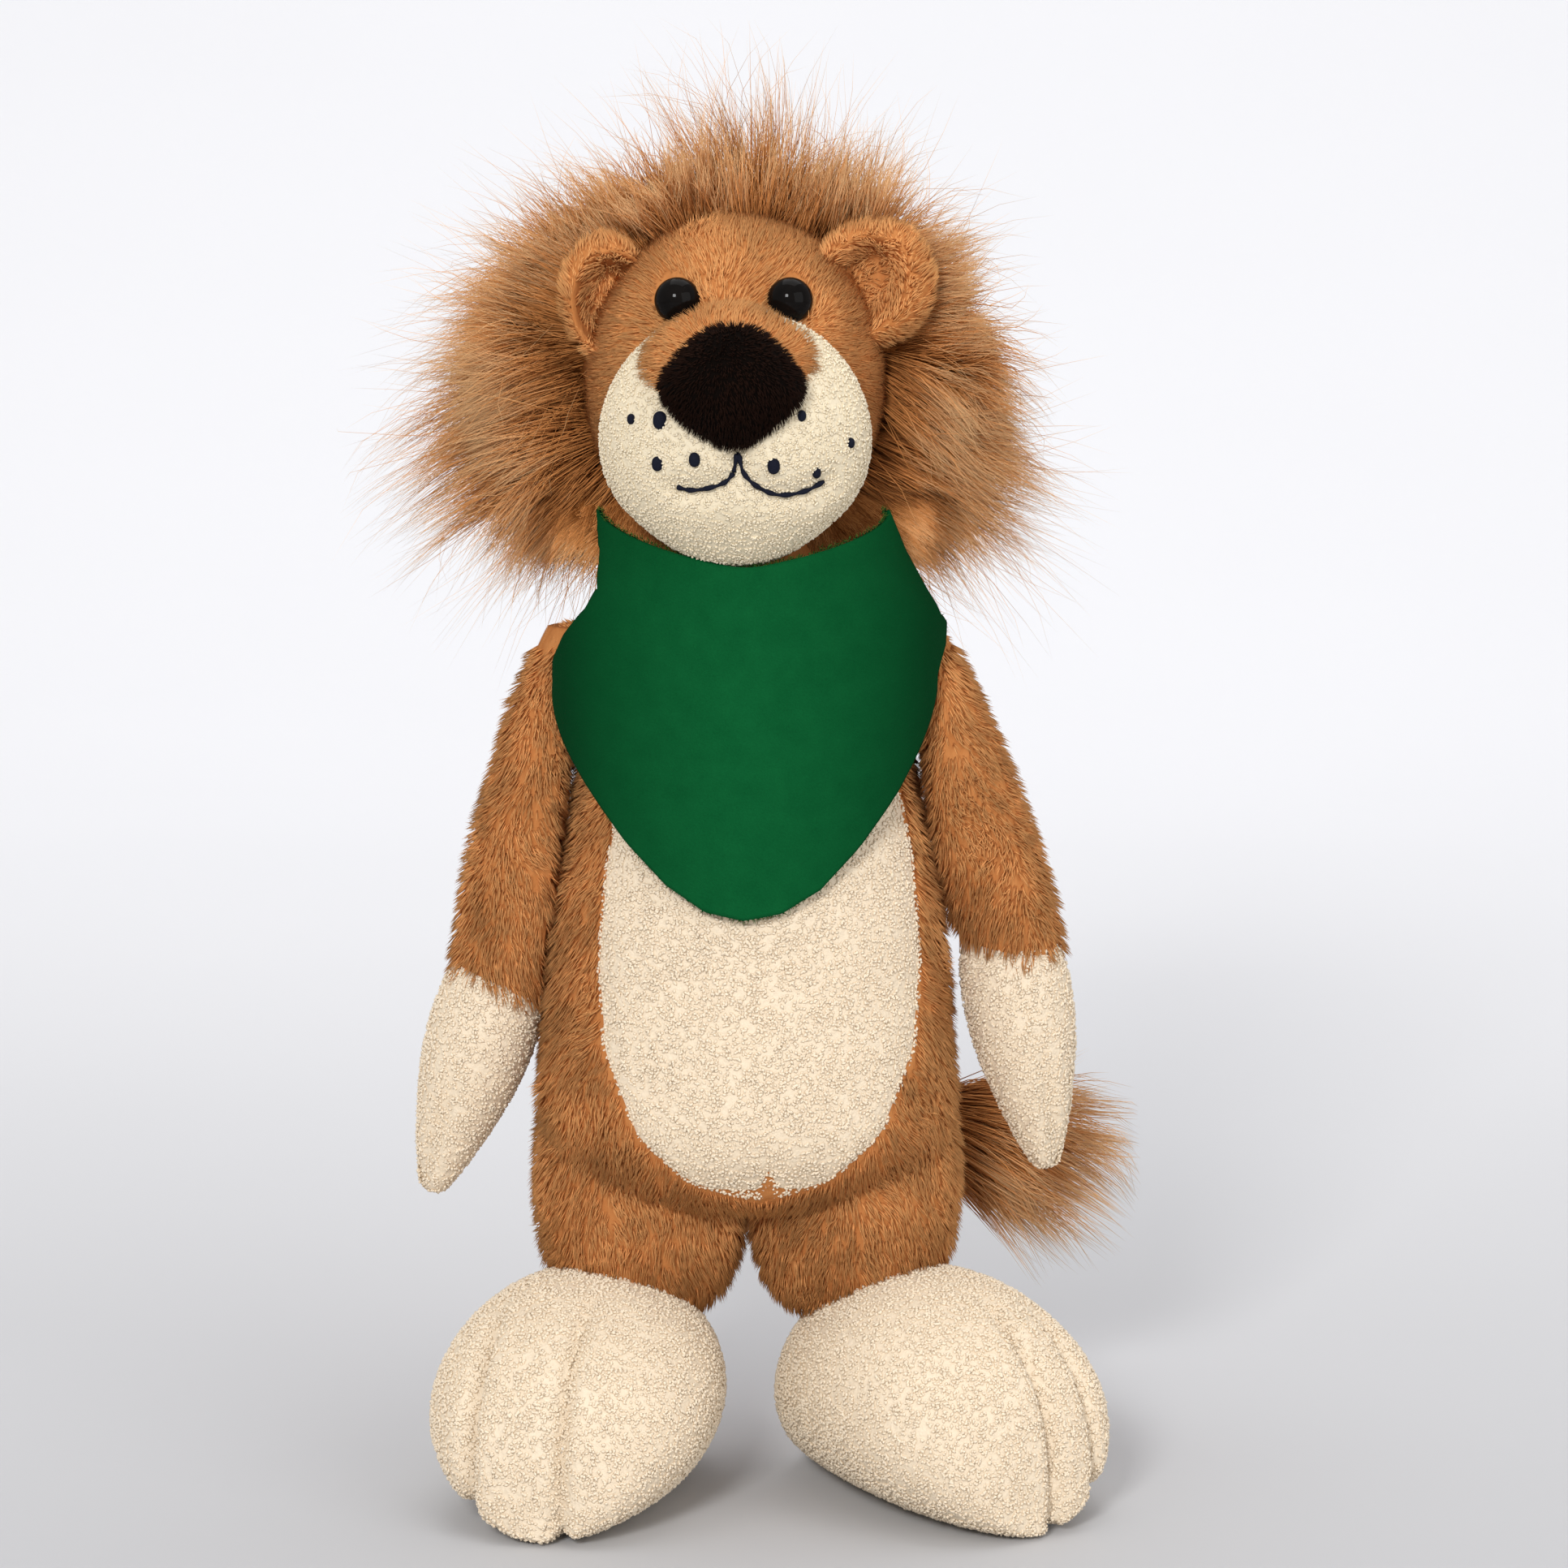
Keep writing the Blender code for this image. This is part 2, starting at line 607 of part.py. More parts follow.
def make_neck(build, paint):
    """The stuffed neck that the head turns and nods on."""
    return build.add("neck", ball_mesh("neck", NECK_RADIUS, SEAT_FACETS), paint["brown"],
                     place(NECK_CENTRE))


def make_head(build, paint):
    """Head skin and filling with the muzzle, bridge, nose, eyes and washers."""
    stand = place(HEAD_BASE)
    skin = build.add("head_skin", HEAD.mesh("head_skin"), paint["brown"], stand)
    filling = build.add("head_filling", HEAD.mesh("head_filling", -PLUSH_WALL - GAP),
                        paint["filling"], stand)
    build.cut(skin, build.tool(HEAD.mesh("head_hollow", -PLUSH_WALL), stand))
    head_grown = build.tool(HEAD.mesh("head_clearance", GAP), stand)
    seat = build.tool(ball_mesh("head_seat", NECK_RADIUS + GAP, SEAT_FACETS),
                      place(NECK_CENTRE))
    build.cut(skin, seat)
    build.cut(filling, seat)

    muzzle = build.add("muzzle", MUZZLE.mesh("muzzle"), paint["fleece"], place(MUZZLE_BASE))
    build.cut(muzzle, head_grown)
    muzzle_grown = build.tool(MUZZLE.mesh("muzzle_clearance", GAP), place(MUZZLE_BASE))
    bridge = build.add("nose_bridge", BRIDGE.mesh("nose_bridge"), paint["brown"],
                       place(BRIDGE_BASE))
    build.cut(bridge, head_grown)
    build.cut(bridge, muzzle_grown)
    bridge_grown = build.tool(BRIDGE.mesh("bridge_clearance", GAP), place(BRIDGE_BASE))
    nose = build.add("nose", NOSE.mesh("nose"), paint["nose"], place(NOSE_BASE))
    build.cut(nose, head_grown)
    build.cut(nose, muzzle_grown)
    build.cut(nose, bridge_grown)
    pieces = [skin, filling, muzzle, bridge, nose]

    for name, side in (("right", -1.0), ("left", 1.0)):
        point, normal = front_point(HEAD, HEAD_BASE, side * EYE_SPACING / 2.0,
                                    HEAD_HEIGHT / 2.0 + EYE_RISE)
        dome_seat = aim(point + normal * GAP, normal)
        eye = build.add(name + "_eye", ball_mesh(name + "_eye", EYE_RADIUS, (16, 10)),
                        paint["eye"], dome_seat)
        squash = Matrix.Diagonal((1.0, 1.0, EYE_DOME / EYE_RADIUS, 1.0))
        eye.data.transform(squash)
        back = build.tool(box_mesh("eye_back", (-EYE_RADIUS * 2.0, -EYE_RADIUS * 2.0,
                                                -EYE_RADIUS * 2.0),
                                   (EYE_RADIUS * 2.0, EYE_RADIUS * 2.0, 0.0)), dome_seat)
        build.cut(eye, back)
        build.cut(eye, head_grown)
        shank_foot = aim(point + normal * (GAP - SHANK_LENGTH), normal)
        build.join(eye, build.tool(rod_mesh("shank", SHANK_RADIUS,
                                            SHANK_LENGTH + EYE_DOME / 2.0, 12), shank_foot))
        hole = build.tool(rod_mesh("shank_hole", SHANK_RADIUS + GAP,
                                   SHANK_LENGTH + EYE_DOME, 12),
                          aim(point - normal * (SHANK_LENGTH + GAP), normal))
        washer_place = aim(point - normal * (PLUSH_WALL + GAP + WASHER_THICKNESS), normal)
        washer = build.add(name + "_eye_washer",
                           rod_mesh(name + "_eye_washer", WASHER_RADIUS, WASHER_THICKNESS, 20),
                           paint["washer"], washer_place)
        build.cut(washer, hole)
        washer_room = build.tool(
            rod_mesh("washer_room", WASHER_RADIUS + GAP, WASHER_THICKNESS + 2.0 * GAP, 20),
            aim(point - normal * (PLUSH_WALL + 2.0 * GAP + WASHER_THICKNESS), normal))
        build.cut(skin, hole)
        build.cut(skin, washer_room)
        build.cut(filling, hole)
        build.cut(filling, washer_room)
        pieces += [eye, washer]
    return pieces, head_grown


def make_embroidery(build, paint):
    """Mouth line and whisker dots, sewn proud of the muzzle fleece."""
    half = MUZZLE_WIDTH / 2.0
    middle = MUZZLE_HEIGHT / 2.0
    points = []
    for wide, high in MOUTH_SHARES:
        point, normal = front_point(MUZZLE, MUZZLE_BASE, half * wide,
                                    middle + MUZZLE_HEIGHT * high)
        points.append(point + normal * (THREAD_RADIUS - THREAD_PROUD + GAP))
    mouth = build.add("mouth_embroidery", thread_mesh("mouth_embroidery", points,
                                                      THREAD_RADIUS), paint["thread"])
    muzzle_grown = build.tool(MUZZLE.mesh("mouth_back", GAP), place(MUZZLE_BASE))
    build.cut(mouth, muzzle_grown)
    pieces = [mouth]
    for index, (wide, high) in enumerate(DOT_SHARES):
        point, normal = front_point(MUZZLE, MUZZLE_BASE, half * wide,
                                    middle + MUZZLE_HEIGHT / 2.0 * high)
        dot = build.add("whisker_dot_%d" % (index + 1),
                        ball_mesh("whisker_dot", DOT_RADIUS, (10, 6)), paint["thread"],
                        aim(point, normal))
        build.cut(dot, muzzle_grown)
        pieces.append(dot)
    return pieces


def make_ears(build, paint, head_grown):
    """Two rounded ears, each a bowl with a lining sewn into it."""
    pieces = []
    tools = []
    for name, side, rise, lean in (("right", -1.0, RIGHT_EAR_RISE, RIGHT_EAR_LEAN),
                                   ("left", 1.0, LEFT_EAR_RISE, LEFT_EAR_LEAN)):
        centre = Vector((HEAD_SHIFT + side * EAR_REACH, -EAR_FORWARD, HEAD_MIDDLE_Z + rise))
        stand = place(centre, (0.0, -lean, 0.0))
        size = Matrix.Diagonal((EAR_WIDTH / 2.0, EAR_THICKNESS / 2.0, EAR_HEIGHT / 2.0, 1.0))
        grown = Matrix.Diagonal((EAR_WIDTH / 2.0 + GAP, EAR_THICKNESS / 2.0 + GAP,
                                 EAR_HEIGHT / 2.0 + GAP, 1.0))
        ear_mesh = ball_mesh(name + "_ear", 1.0, LIMB_FACETS)
        ear_mesh.transform(size)
        ear = build.add(name + "_ear", ear_mesh, paint["brown"], stand)
        bowl = Matrix.Diagonal((EAR_WIDTH / 2.0 * EAR_BOWL_SHARE, EAR_THICKNESS / 2.0,
                                EAR_HEIGHT / 2.0 * EAR_BOWL_SHARE, 1.0))
        forward = stand @ Matrix.Translation((0.0, -EAR_THICKNESS / 2.0, 0.0))
        bowl_mesh = ball_mesh("ear_bowl", 1.0, SMALL_FACETS)
        bowl_mesh.transform(bowl)
        build.cut(ear, build.tool(bowl_mesh, forward))
        build.cut(ear, head_grown)
        lining_size = Matrix.Diagonal((EAR_WIDTH / 2.0 * EAR_BOWL_SHARE - GAP,
                                       EAR_THICKNESS / 2.0 - GAP,
                                       EAR_HEIGHT / 2.0 * EAR_BOWL_SHARE - GAP, 1.0))
        lining_mesh = ball_mesh(name + "_ear_lining", 1.0, SMALL_FACETS)
        lining_mesh.transform(lining_size)
        lining = build.add(name + "_ear_lining", lining_mesh, paint["lining"], forward)
        open_mesh = ball_mesh("lining_front", 1.0, SMALL_FACETS)
        open_mesh.transform(lining_size)
        build.cut(lining, build.tool(open_mesh,
                                     forward @ Matrix.Translation((0.0, -EAR_LINING, 0.0))))
        build.keep(lining, build.tool(ear_mesh.copy(), stand))
        build.cut(lining, head_grown)
        clear_mesh = ball_mesh("ear_clearance", 1.0, LIMB_FACETS)
        clear_mesh.transform(grown)
        tools.append(build.tool(clear_mesh, stand))
        pieces += [ear, lining]
    return pieces, tools


def make_mane(build, paint, head_grown, ear_tools):
    """The long-pile mane round the back, top and sides of the head."""
    mane = build.add("mane", MANE.mesh("mane"), paint["mane"], place(MANE_BASE))
    wide = MANE_WIDTH
    front = build.tool(box_mesh("mane_front", (-wide, -wide, MANE_BASE.z - wide),
                                (wide, -MANE_FACE, MANE_BASE.z + 3.0 * wide)))
    hem = build.tool(box_mesh("mane_hem", (-wide, -wide, MANE_HEM_Z - wide),
                              (wide, wide, MANE_HEM_Z)))
    build.cut(mane, front)
    build.cut(mane, hem)
    build.cut(mane, head_grown)
    build.cut(mane, build.tool(ball_mesh("mane_neck", NECK_RADIUS + 2.0 * GAP, SEAT_FACETS),
                               place(NECK_CENTRE)))
    for tool in ear_tools:
        build.cut(mane, tool)
    return mane


def bandana_point(angle, down):
    """A point on the bandana's inner side: angle from the front, share down the cloth."""
    turn = abs(angle)
    slope = math.sin(min(turn, BANDANA_WING_ANGLE)) / math.sin(BANDANA_WING_ANGLE)
    hem_z = BANDANA_TIP_Z + (BANDANA_WING_Z - BANDANA_TIP_Z) * slope ** 1.15
    fade = min(max((turn - BANDANA_WING_ANGLE) / BANDANA_FADE_ANGLE, 0.0), 1.0)
    fade = fade * fade * (3.0 - 2.0 * fade)
    hem_z += (BANDANA_BAND_Z - hem_z) * fade
    z = BANDANA_TOP_Z + (hem_z - BANDANA_TOP_Z) * down
    half_width, half_depth, lean = TORSO.ring((z - TORSO_BASE_Z) / TORSO_HEIGHT)
    collar = NECK_RADIUS + BANDANA_STAND
    fold = BANDANA_FOLD * (0.5 + 0.5 * math.cos(BANDANA_FOLDS * angle)) * (1.0 - fade)
    swell = BANDANA_SWELL * math.sin(math.pi * down ** BANDANA_SWELL_SHARE) * (1.0 - fade)
    proud = BANDANA_DRAPE * down + fold * down * (1.0 - down) * 4.0 * 0.5 + swell
    half_width = max(half_width + proud, collar)
    half_depth = max(half_depth + proud, collar)
    return Vector((math.sin(angle) * half_width, lean - math.cos(angle) * half_depth, z))


def make_bandana(build, paint):
    """The felt triangle round the neck, draped over the chest with soft folds."""
    sheet = bmesh.new()
    bmesh.ops.create_grid(sheet, x_segments=BANDANA_AROUND, y_segments=BANDANA_DOWN, size=1.0)
    for vert in sheet.verts:
        vert.co = bandana_point(vert.co.x * math.pi, (1.0 - vert.co.y) / 2.0)
    bmesh.ops.remove_doubles(sheet, verts=sheet.verts, dist=0.01 * MM)
    bmesh.ops.recalc_face_normals(sheet, faces=sheet.faces)
    mesh = bpy.data.meshes.new("bandana")
    sheet.to_mesh(mesh)
    sheet.free()
    smooth(mesh)
    bandana = build.add("bandana", mesh, paint["felt"])
    thick = bandana.modifiers.new("felt", "SOLIDIFY")
    thick.thickness = FELT_THICKNESS
    thick.offset = 1.0
    build.cut(bandana, build.tool(TORSO.mesh("bandana_back", PANEL_CROWN + GAP),
                                  place(TORSO_BASE)))
    room = GATHER_RADIUS + ARM_CUP + GAP
    for side in (-1.0, 1.0):
        shoulder = (side * SHOULDER_X, 0.0, SHOULDER_Z)
        build.cut(bandana, build.tool(ball_mesh("bandana_shoulder", room, SEAT_FACETS),
                                      place(shoulder)))
        build.cut(bandana, build.tool(rod_mesh("bandana_gather",
                                               GATHER_NECK_RADIUS + TURNING_GAP,
                                               GATHER_DEPTH, 18),
                                      place(shoulder, (0.0, -side * math.pi / 2.0, 0.0))))
    return bandana


def make_arm(build, paint, name, side, length, width, tilt, hand_tilt):
    """A shoulder gather, an arm skin with its filling, and a cream hand."""
    shoulder = Vector((side * SHOULDER_X, 0.0, SHOULDER_Z))
    gather = build.add(name + "_shoulder_gather",
                       ball_mesh(name + "_shoulder_gather", GATHER_RADIUS, LIMB_FACETS),
                       paint["brown"], place(shoulder))
    inward = place(shoulder, (0.0, -side * math.pi / 2.0, 0.0))
    build.join(gather, build.tool(rod_mesh("gather_neck", GATHER_NECK_RADIUS,
                                           GATHER_DEPTH, 12), inward))

    arm_form = Form(length + ARM_TOP + OVERRUN, width, ARM_DEPTH, ARM_WIDTH_SHARES,
                    ARM_DEPTH_SHARES, blunt_share=ARM_BLUNT_SHARE)
    down = Vector((side * math.sin(tilt), 0.0, -math.cos(tilt)))
    stand = place(shoulder + down * (length + OVERRUN), (0.0, -side * tilt, 0.0))
    skin = build.add(name + "_arm_skin", arm_form.mesh(name + "_arm_skin"),
                     paint["brown"], stand)
    filling = build.add(name + "_arm_filling",
                        arm_form.mesh(name + "_arm_filling", -ARM_WALL - GAP),
                        paint["filling"], stand)
    build.cut(skin, build.tool(arm_form.mesh("arm_hollow", -ARM_WALL), stand))
    cuff = place(shoulder + down * length, (0.0, -side * tilt, 0.0))
    below = build.tool(box_mesh("cuff_cut", (-width * 2.0, -width * 2.0, -width * 2.0),
                                (width * 2.0, width * 2.0, 0.0)), cuff)
    seat = build.tool(ball_mesh("arm_seat", GATHER_RADIUS + GAP, LIMB_FACETS),
                      place(shoulder))
    beside = build.tool(box_mesh("torso_side", (-2.0 * width, -length, -2.0 * length),
                                 (2.0 * width, length, length)),
                        place((side * ARM_SIDE_X, 0.0, SHOULDER_Z),
                              (0.0, -side * ARM_SIDE_TILT, 0.0))
                        @ Matrix.Translation((-side * 2.0 * width, 0.0, 0.0)))
    above = build.tool(box_mesh("arm_cap", (shoulder.x - 2.0 * width, -length,
                                            SHOULDER_Z + ARM_CAP),
                                (shoulder.x + 2.0 * width, length, SHOULDER_Z + length)))
    for piece in (skin, filling):
        for tool in (below, seat, beside, above):
            build.cut(piece, tool)

    wrist = shoulder + down * (length - HAND_INSET)
    hand_down = Vector((side * math.sin(hand_tilt), 0.0, -math.cos(hand_tilt)))
    hand = build.add(name + "_hand", HAND.mesh(name + "_hand"), paint["cream"],
                     place(wrist + hand_down * HAND_LENGTH, (0.0, -side * hand_tilt, 0.0)))
    build.cut(hand, build.tool(box_mesh("hand_cut", (-width * 2.0, -width * 2.0, -GAP),
                                        (width * 2.0, width * 2.0, length)), cuff))
    build.cut(hand, beside)
    return gather, skin, filling, hand


def make_leg(build, paint, name, side, out, yaw):
    """A short leg with a round hip, and a big stuffed paw under it."""
    hip = Vector((side * HIP_X, 0.0, HIP_Z))
    leg = build.add(name + "_leg", ball_mesh(name + "_leg", HIP_RADIUS, SEAT_FACETS),
                    paint["brown"], place(hip))
    build.join(leg, build.tool(rod_mesh("leg_column", LEG_BOTTOM_RADIUS,
                                        HIP_Z + LEG_LAP - LEG_BOTTOM_Z, 18,
                                        HIP_RADIUS * LEG_TOP_SHARE),
                               place((side * HIP_X, 0.0, LEG_BOTTOM_Z))))
    middle = Vector((side * (HIP_X + out), -FOOT_FORWARD, FOOT_HEIGHT / 2.0 - SOLE_CUT))
    turn = Euler((math.pi / 2.0, 0.0, yaw), "XYZ").to_matrix().to_4x4()
    stand = Matrix.Translation(middle) @ turn @ Matrix.Translation(
        (0.0, 0.0, -FOOT_LENGTH / 2.0))
    foot = build.add(name + "_foot_skin", FOOT.mesh(name + "_foot_skin"), paint["cream"],
                     stand)
    build.cut(foot, build.tool(FOOT.mesh("foot_hollow", -PLUSH_WALL), stand))
    build.cut(foot, build.tool(rod_mesh("ankle", ANKLE_RADIUS, FOOT_HEIGHT, 20),
                               place((side * HIP_X, 0.0, FOOT_HEIGHT / 2.0))))
    build.cut(foot, build.tool(box_mesh("ground", (-FOOT_LENGTH * 2.0, -FOOT_LENGTH * 2.0,
                                                   -FOOT_LENGTH),
                                        (FOOT_LENGTH * 2.0, FOOT_LENGTH * 2.0, 0.0))))
    filling = build.add(name + "_foot_filling",
                        FOOT.mesh(name + "_foot_filling", -PLUSH_WALL - 2.0 * GAP),
                        paint["filling"], stand)
    build.cut(leg, build.tool(FOOT.mesh("foot_clearance", GAP), stand))
    return leg, foot, filling


def make_tail(build, paint):
    """The tail and its tuft, reaching out behind the lion's left leg."""
    half_width, half_depth, lean = TORSO.ring((TAIL_Z - TORSO_BASE_Z) / TORSO_HEIGHT)
    across = math.sqrt(1.0 - (TAIL_X / half_width) ** 2)
    root = Vector((TAIL_X, lean + half_depth * across, TAIL_Z))
    points = []
    steps = 8
    for index in range(steps + 1):
        part = index / steps
        points.append(root + Vector((TAIL_LENGTH * part ** 1.7,
                                     (TAIL_BACK + TAIL_SEAT)
                                     * math.sin(part * math.pi / 2.0) - TAIL_SEAT,
                                     -TAIL_DROP * part ** 1.3)))
    tail = build.add("tail", thread_mesh("tail", points, TAIL_RADIUS), paint["brown"])
    build.cut(tail, build.tool(TORSO.mesh("tail_seat", GAP), place(TORSO_BASE)))
    for index in range(TAIL_TRIMS):
        swung = Matrix.Rotation(-TAIL_TRIM_TURN * (index + 1) / TAIL_TRIMS, 4, "Z")
        trim = Matrix.Translation(root) @ swung @ Matrix.Translation(TORSO_BASE - root)
        build.cut(tail, build.tool(TORSO.mesh("tail_trim", GAP), trim))
    end = points[-1]
    turn = Euler((0.0, TUFT_PITCH, TUFT_YAW), "XYZ").to_matrix().to_4x4()
    axis = turn @ Vector((0.0, 0.0, 1.0))
    tuft = build.add("tail_tuft", TUFT.mesh("tail_tuft"), paint["mane"],
                     Matrix.Translation(end - axis * TUFT_INSET) @ turn)
    beyond = end + (end - points[-2]).normalized() * 2.0 * GAP
    build.cut(tuft, build.tool(thread_mesh("tuft_bore", points + [beyond],
                                           TAIL_RADIUS + GAP)))
    return root, tail, tuft


def main():
    clear_scene()
    build = Build()
    paint = make_materials()
    make_torso(build, paint)
    neck = make_neck(build, paint)
    head_pieces, head_grown = make_head(build, paint)
    head_pieces += make_embroidery(build, paint)
    ear_pieces, ear_tools = make_ears(build, paint, head_grown)
    head_pieces += ear_pieces
    head_pieces.append(make_mane(build, paint, head_grown, ear_tools))
    make_bandana(build, paint)

    head_turn = build.pivot("head_turn_axis", NECK_CENTRE)
    head_nod = build.pivot("head_nod_axis", NECK_CENTRE, head_turn)
    carry(head_turn, [neck])
    carry(head_nod, head_pieces)

    arms = (("right", -1.0, RIGHT_ARM_LENGTH, RIGHT_ARM_WIDTH, RIGHT_ARM_TILT,
             RIGHT_HAND_TILT),
            ("left", 1.0, LEFT_ARM_LENGTH, LEFT_ARM_WIDTH, LEFT_ARM_TILT, LEFT_HAND_TILT))
    for name, side, length, width, tilt, hand_tilt in arms:
        gather, skin, filling, hand = make_arm(build, paint, name, side, length, width,
                                               tilt, hand_tilt)
        shoulder = (side * SHOULDER_X, 0.0, SHOULDER_Z)
        swing = build.pivot(name + "_arm_swing_axis", shoulder)
        lift = build.pivot(name + "_arm_lift_axis", shoulder, swing)
        carry(swing, [gather])
        carry(lift, [skin, filling, hand])

    legs = (("right", -1.0, RIGHT_FOOT_OUT, RIGHT_FOOT_YAW),
            ("left", 1.0, LEFT_FOOT_OUT, LEFT_FOOT_YAW))
    for name, side, out, yaw in legs:
        pieces = make_leg(build, paint, name, side, out, yaw)
        hip = build.pivot(name + "_hip_axis", (side * HIP_X, 0.0, HIP_Z))
        carry(hip, pieces)

    root, tail, tuft = make_tail(build, paint)
    carry(build.pivot("tail_axis", root), [tail, tuft])
    bpy.context.view_layer.update()


main()
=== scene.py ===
"""The looks of a standing plush lion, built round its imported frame.

Every piece is a surface worked out on a grid of two parameters. The pile, the looped
cloth and the mane are sown over those surfaces as small closed solids.
"""

import math

import bpy
import numpy as np
from bpy.props import (FloatProperty, FloatVectorProperty, IntProperty, PointerProperty)
from bpy.types import Operator, Panel, PropertyGroup
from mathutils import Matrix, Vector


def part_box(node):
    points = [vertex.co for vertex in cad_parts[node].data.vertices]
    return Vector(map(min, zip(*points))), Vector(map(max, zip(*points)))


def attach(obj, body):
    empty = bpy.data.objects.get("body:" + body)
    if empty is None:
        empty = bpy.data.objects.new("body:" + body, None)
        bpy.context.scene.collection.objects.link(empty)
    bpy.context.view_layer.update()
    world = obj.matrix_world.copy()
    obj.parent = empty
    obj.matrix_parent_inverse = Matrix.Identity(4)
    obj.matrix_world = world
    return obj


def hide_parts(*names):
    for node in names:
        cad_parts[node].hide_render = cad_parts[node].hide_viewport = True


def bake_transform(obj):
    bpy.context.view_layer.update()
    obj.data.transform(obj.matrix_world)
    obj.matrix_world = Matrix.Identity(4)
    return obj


bl_info = {
    "name": "Plush lion",
    "version": (1, 0, 0),
    "blender": (4, 5, 0),
    "location": "View3D > Sidebar > Plush Lion",
    "description": "Skins, pile, mane, bandana and stage of a standing plush lion",
    "category": "Object",
}

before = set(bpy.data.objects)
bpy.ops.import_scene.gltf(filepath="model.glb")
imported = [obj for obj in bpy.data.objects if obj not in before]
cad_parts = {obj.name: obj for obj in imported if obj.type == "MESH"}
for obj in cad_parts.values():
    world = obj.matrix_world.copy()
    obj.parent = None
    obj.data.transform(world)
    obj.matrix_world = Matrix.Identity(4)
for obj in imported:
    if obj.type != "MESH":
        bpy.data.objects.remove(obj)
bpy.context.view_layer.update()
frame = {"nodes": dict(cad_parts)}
MM = 0.001
MATT = 0.06
SIDES = (("right", -1.0), ("left", 1.0))


def srgb(red, green, blue):
    """A colour as it is seen, in numbers to 255, turned into the linear numbers of a shader."""
    seen = np.array((red, green, blue)) / 255.0
    return tuple(np.where(seen <= 0.04045, seen / 12.92, ((seen + 0.055) / 1.055) ** 2.4))


def colour_prop(name, description, colour):
    return FloatVectorProperty(name=name, description=description, default=colour,
                               subtype="COLOR", size=3, min=0.0, max=1.0)


def length_prop(name, description, millimetres):
    return FloatProperty(name=name, description=description, default=millimetres * MM,
                         min=0.0, unit="LENGTH", precision=4)


# Sizes and colours


class LionCloth(PropertyGroup):
    brown_root: colour_prop("Brown root", "Brown pile where it leaves the cloth",
                            srgb(160, 92, 42))
    brown_tip: colour_prop("Brown tip", "Brown pile at its ends", srgb(242, 178, 114))
    # Painted shade: cream_root also colours the low side of each loop and cream_tip its top, so
    # the loops look shaded between them.
    cream_root: colour_prop("Cream root", "Looped cloth between its loops",
                            srgb(222, 202, 174))
    cream_tip: colour_prop("Cream tip", "Looped cloth on top of its loops",
                           srgb(238, 223, 200))
    # Painted shade: fleece_root also colours the low side of each muzzle loop and fleece_tip its
    # top.
    fleece_root: colour_prop("Muzzle root", "Muzzle fleece at its base",
                             srgb(216, 200, 168))
    fleece_tip: colour_prop("Muzzle tip", "Muzzle fleece on its surface",
                            srgb(236, 224, 200))
    nose_root: colour_prop("Nose root", "Nose velvet at its base", srgb(10, 5, 3))
    nose_tip: colour_prop("Nose tip", "Nose velvet at its ends", srgb(40, 22, 14))
    felt: colour_prop("Felt", "Bandana felt", srgb(0, 80, 38))
    felt_edge: colour_prop("Felt edge", "Cut edge of the felt", srgb(92, 118, 44))
    thread: colour_prop("Thread", "Embroidery thread", srgb(22, 24, 36))
    pile: length_prop("Pile length", "Length of the short brown pile", 4.4)
    pile_count: IntProperty(name="Pile density", default=150, min=10, max=400,
                            description="Hairs of brown pile on a square centimetre")
    loop: length_prop("Loop size", "Size of one loop of the cream cloth", 1.2)
    loop_count: IntProperty(name="Loop density", default=142, min=10, max=300,
                            description="Loops of cream cloth on a square centimetre")


class LionMane(PropertyGroup):
    root: colour_prop("Mane root", "Long hair where it leaves the cloth", srgb(134, 78, 34))
    middle: colour_prop("Mane middle", "Long hair along its length", srgb(204, 138, 80))
    tip: colour_prop("Mane tip", "Long hair at its ends", srgb(238, 198, 148))
    hairs: IntProperty(name="Hairs", default=30000, min=1000, max=36000,
                       description="Hairs in the whole mane")
    locks: IntProperty(name="Locks", default=900, min=50, max=4000,
                       description="Locks that the hairs gather into")
    hair: length_prop("Hair width", "Width of a hair at its root", 0.36)


class LionStage(PropertyGroup):
    floor: colour_prop("Floor", "Floor and backdrop", srgb(249, 249, 251))
    lens: FloatProperty(name="Lens", description="Focal length for a 36 mm sensor",
                        default=112.0, min=10.0, unit="NONE")
    distance: FloatProperty(name="Distance", description="From the camera to the lion",
                            default=1.1, min=0.2, unit="LENGTH")
    rise: FloatProperty(name="Rise", description="Angle of the camera above level",
                        default=math.radians(8.0), subtype="ANGLE")


# Shader sums


class Value:
    """An output socket that can stand in a sum."""

    def __init__(self, paint, socket):
        self.paint = paint
        self.socket = socket

    def sum(self, operation, first, second):
        return self.paint.node("ShaderNodeMath", {"operation": operation},
                               {0: first, 1: second})

    def __add__(self, other):
        return self.sum("ADD", self, other)

    def __sub__(self, other):
        return self.sum("SUBTRACT", self, other)

    def __rsub__(self, other):
        return self.sum("SUBTRACT", other, self)

    def __mul__(self, other):
        return self.sum("MULTIPLY", self, other)

    def __truediv__(self, other):
        return self.sum("DIVIDE", self, other)

    def __pow__(self, other):
        return self.sum("POWER", self, other)

    __radd__ = __add__
    __rmul__ = __mul__


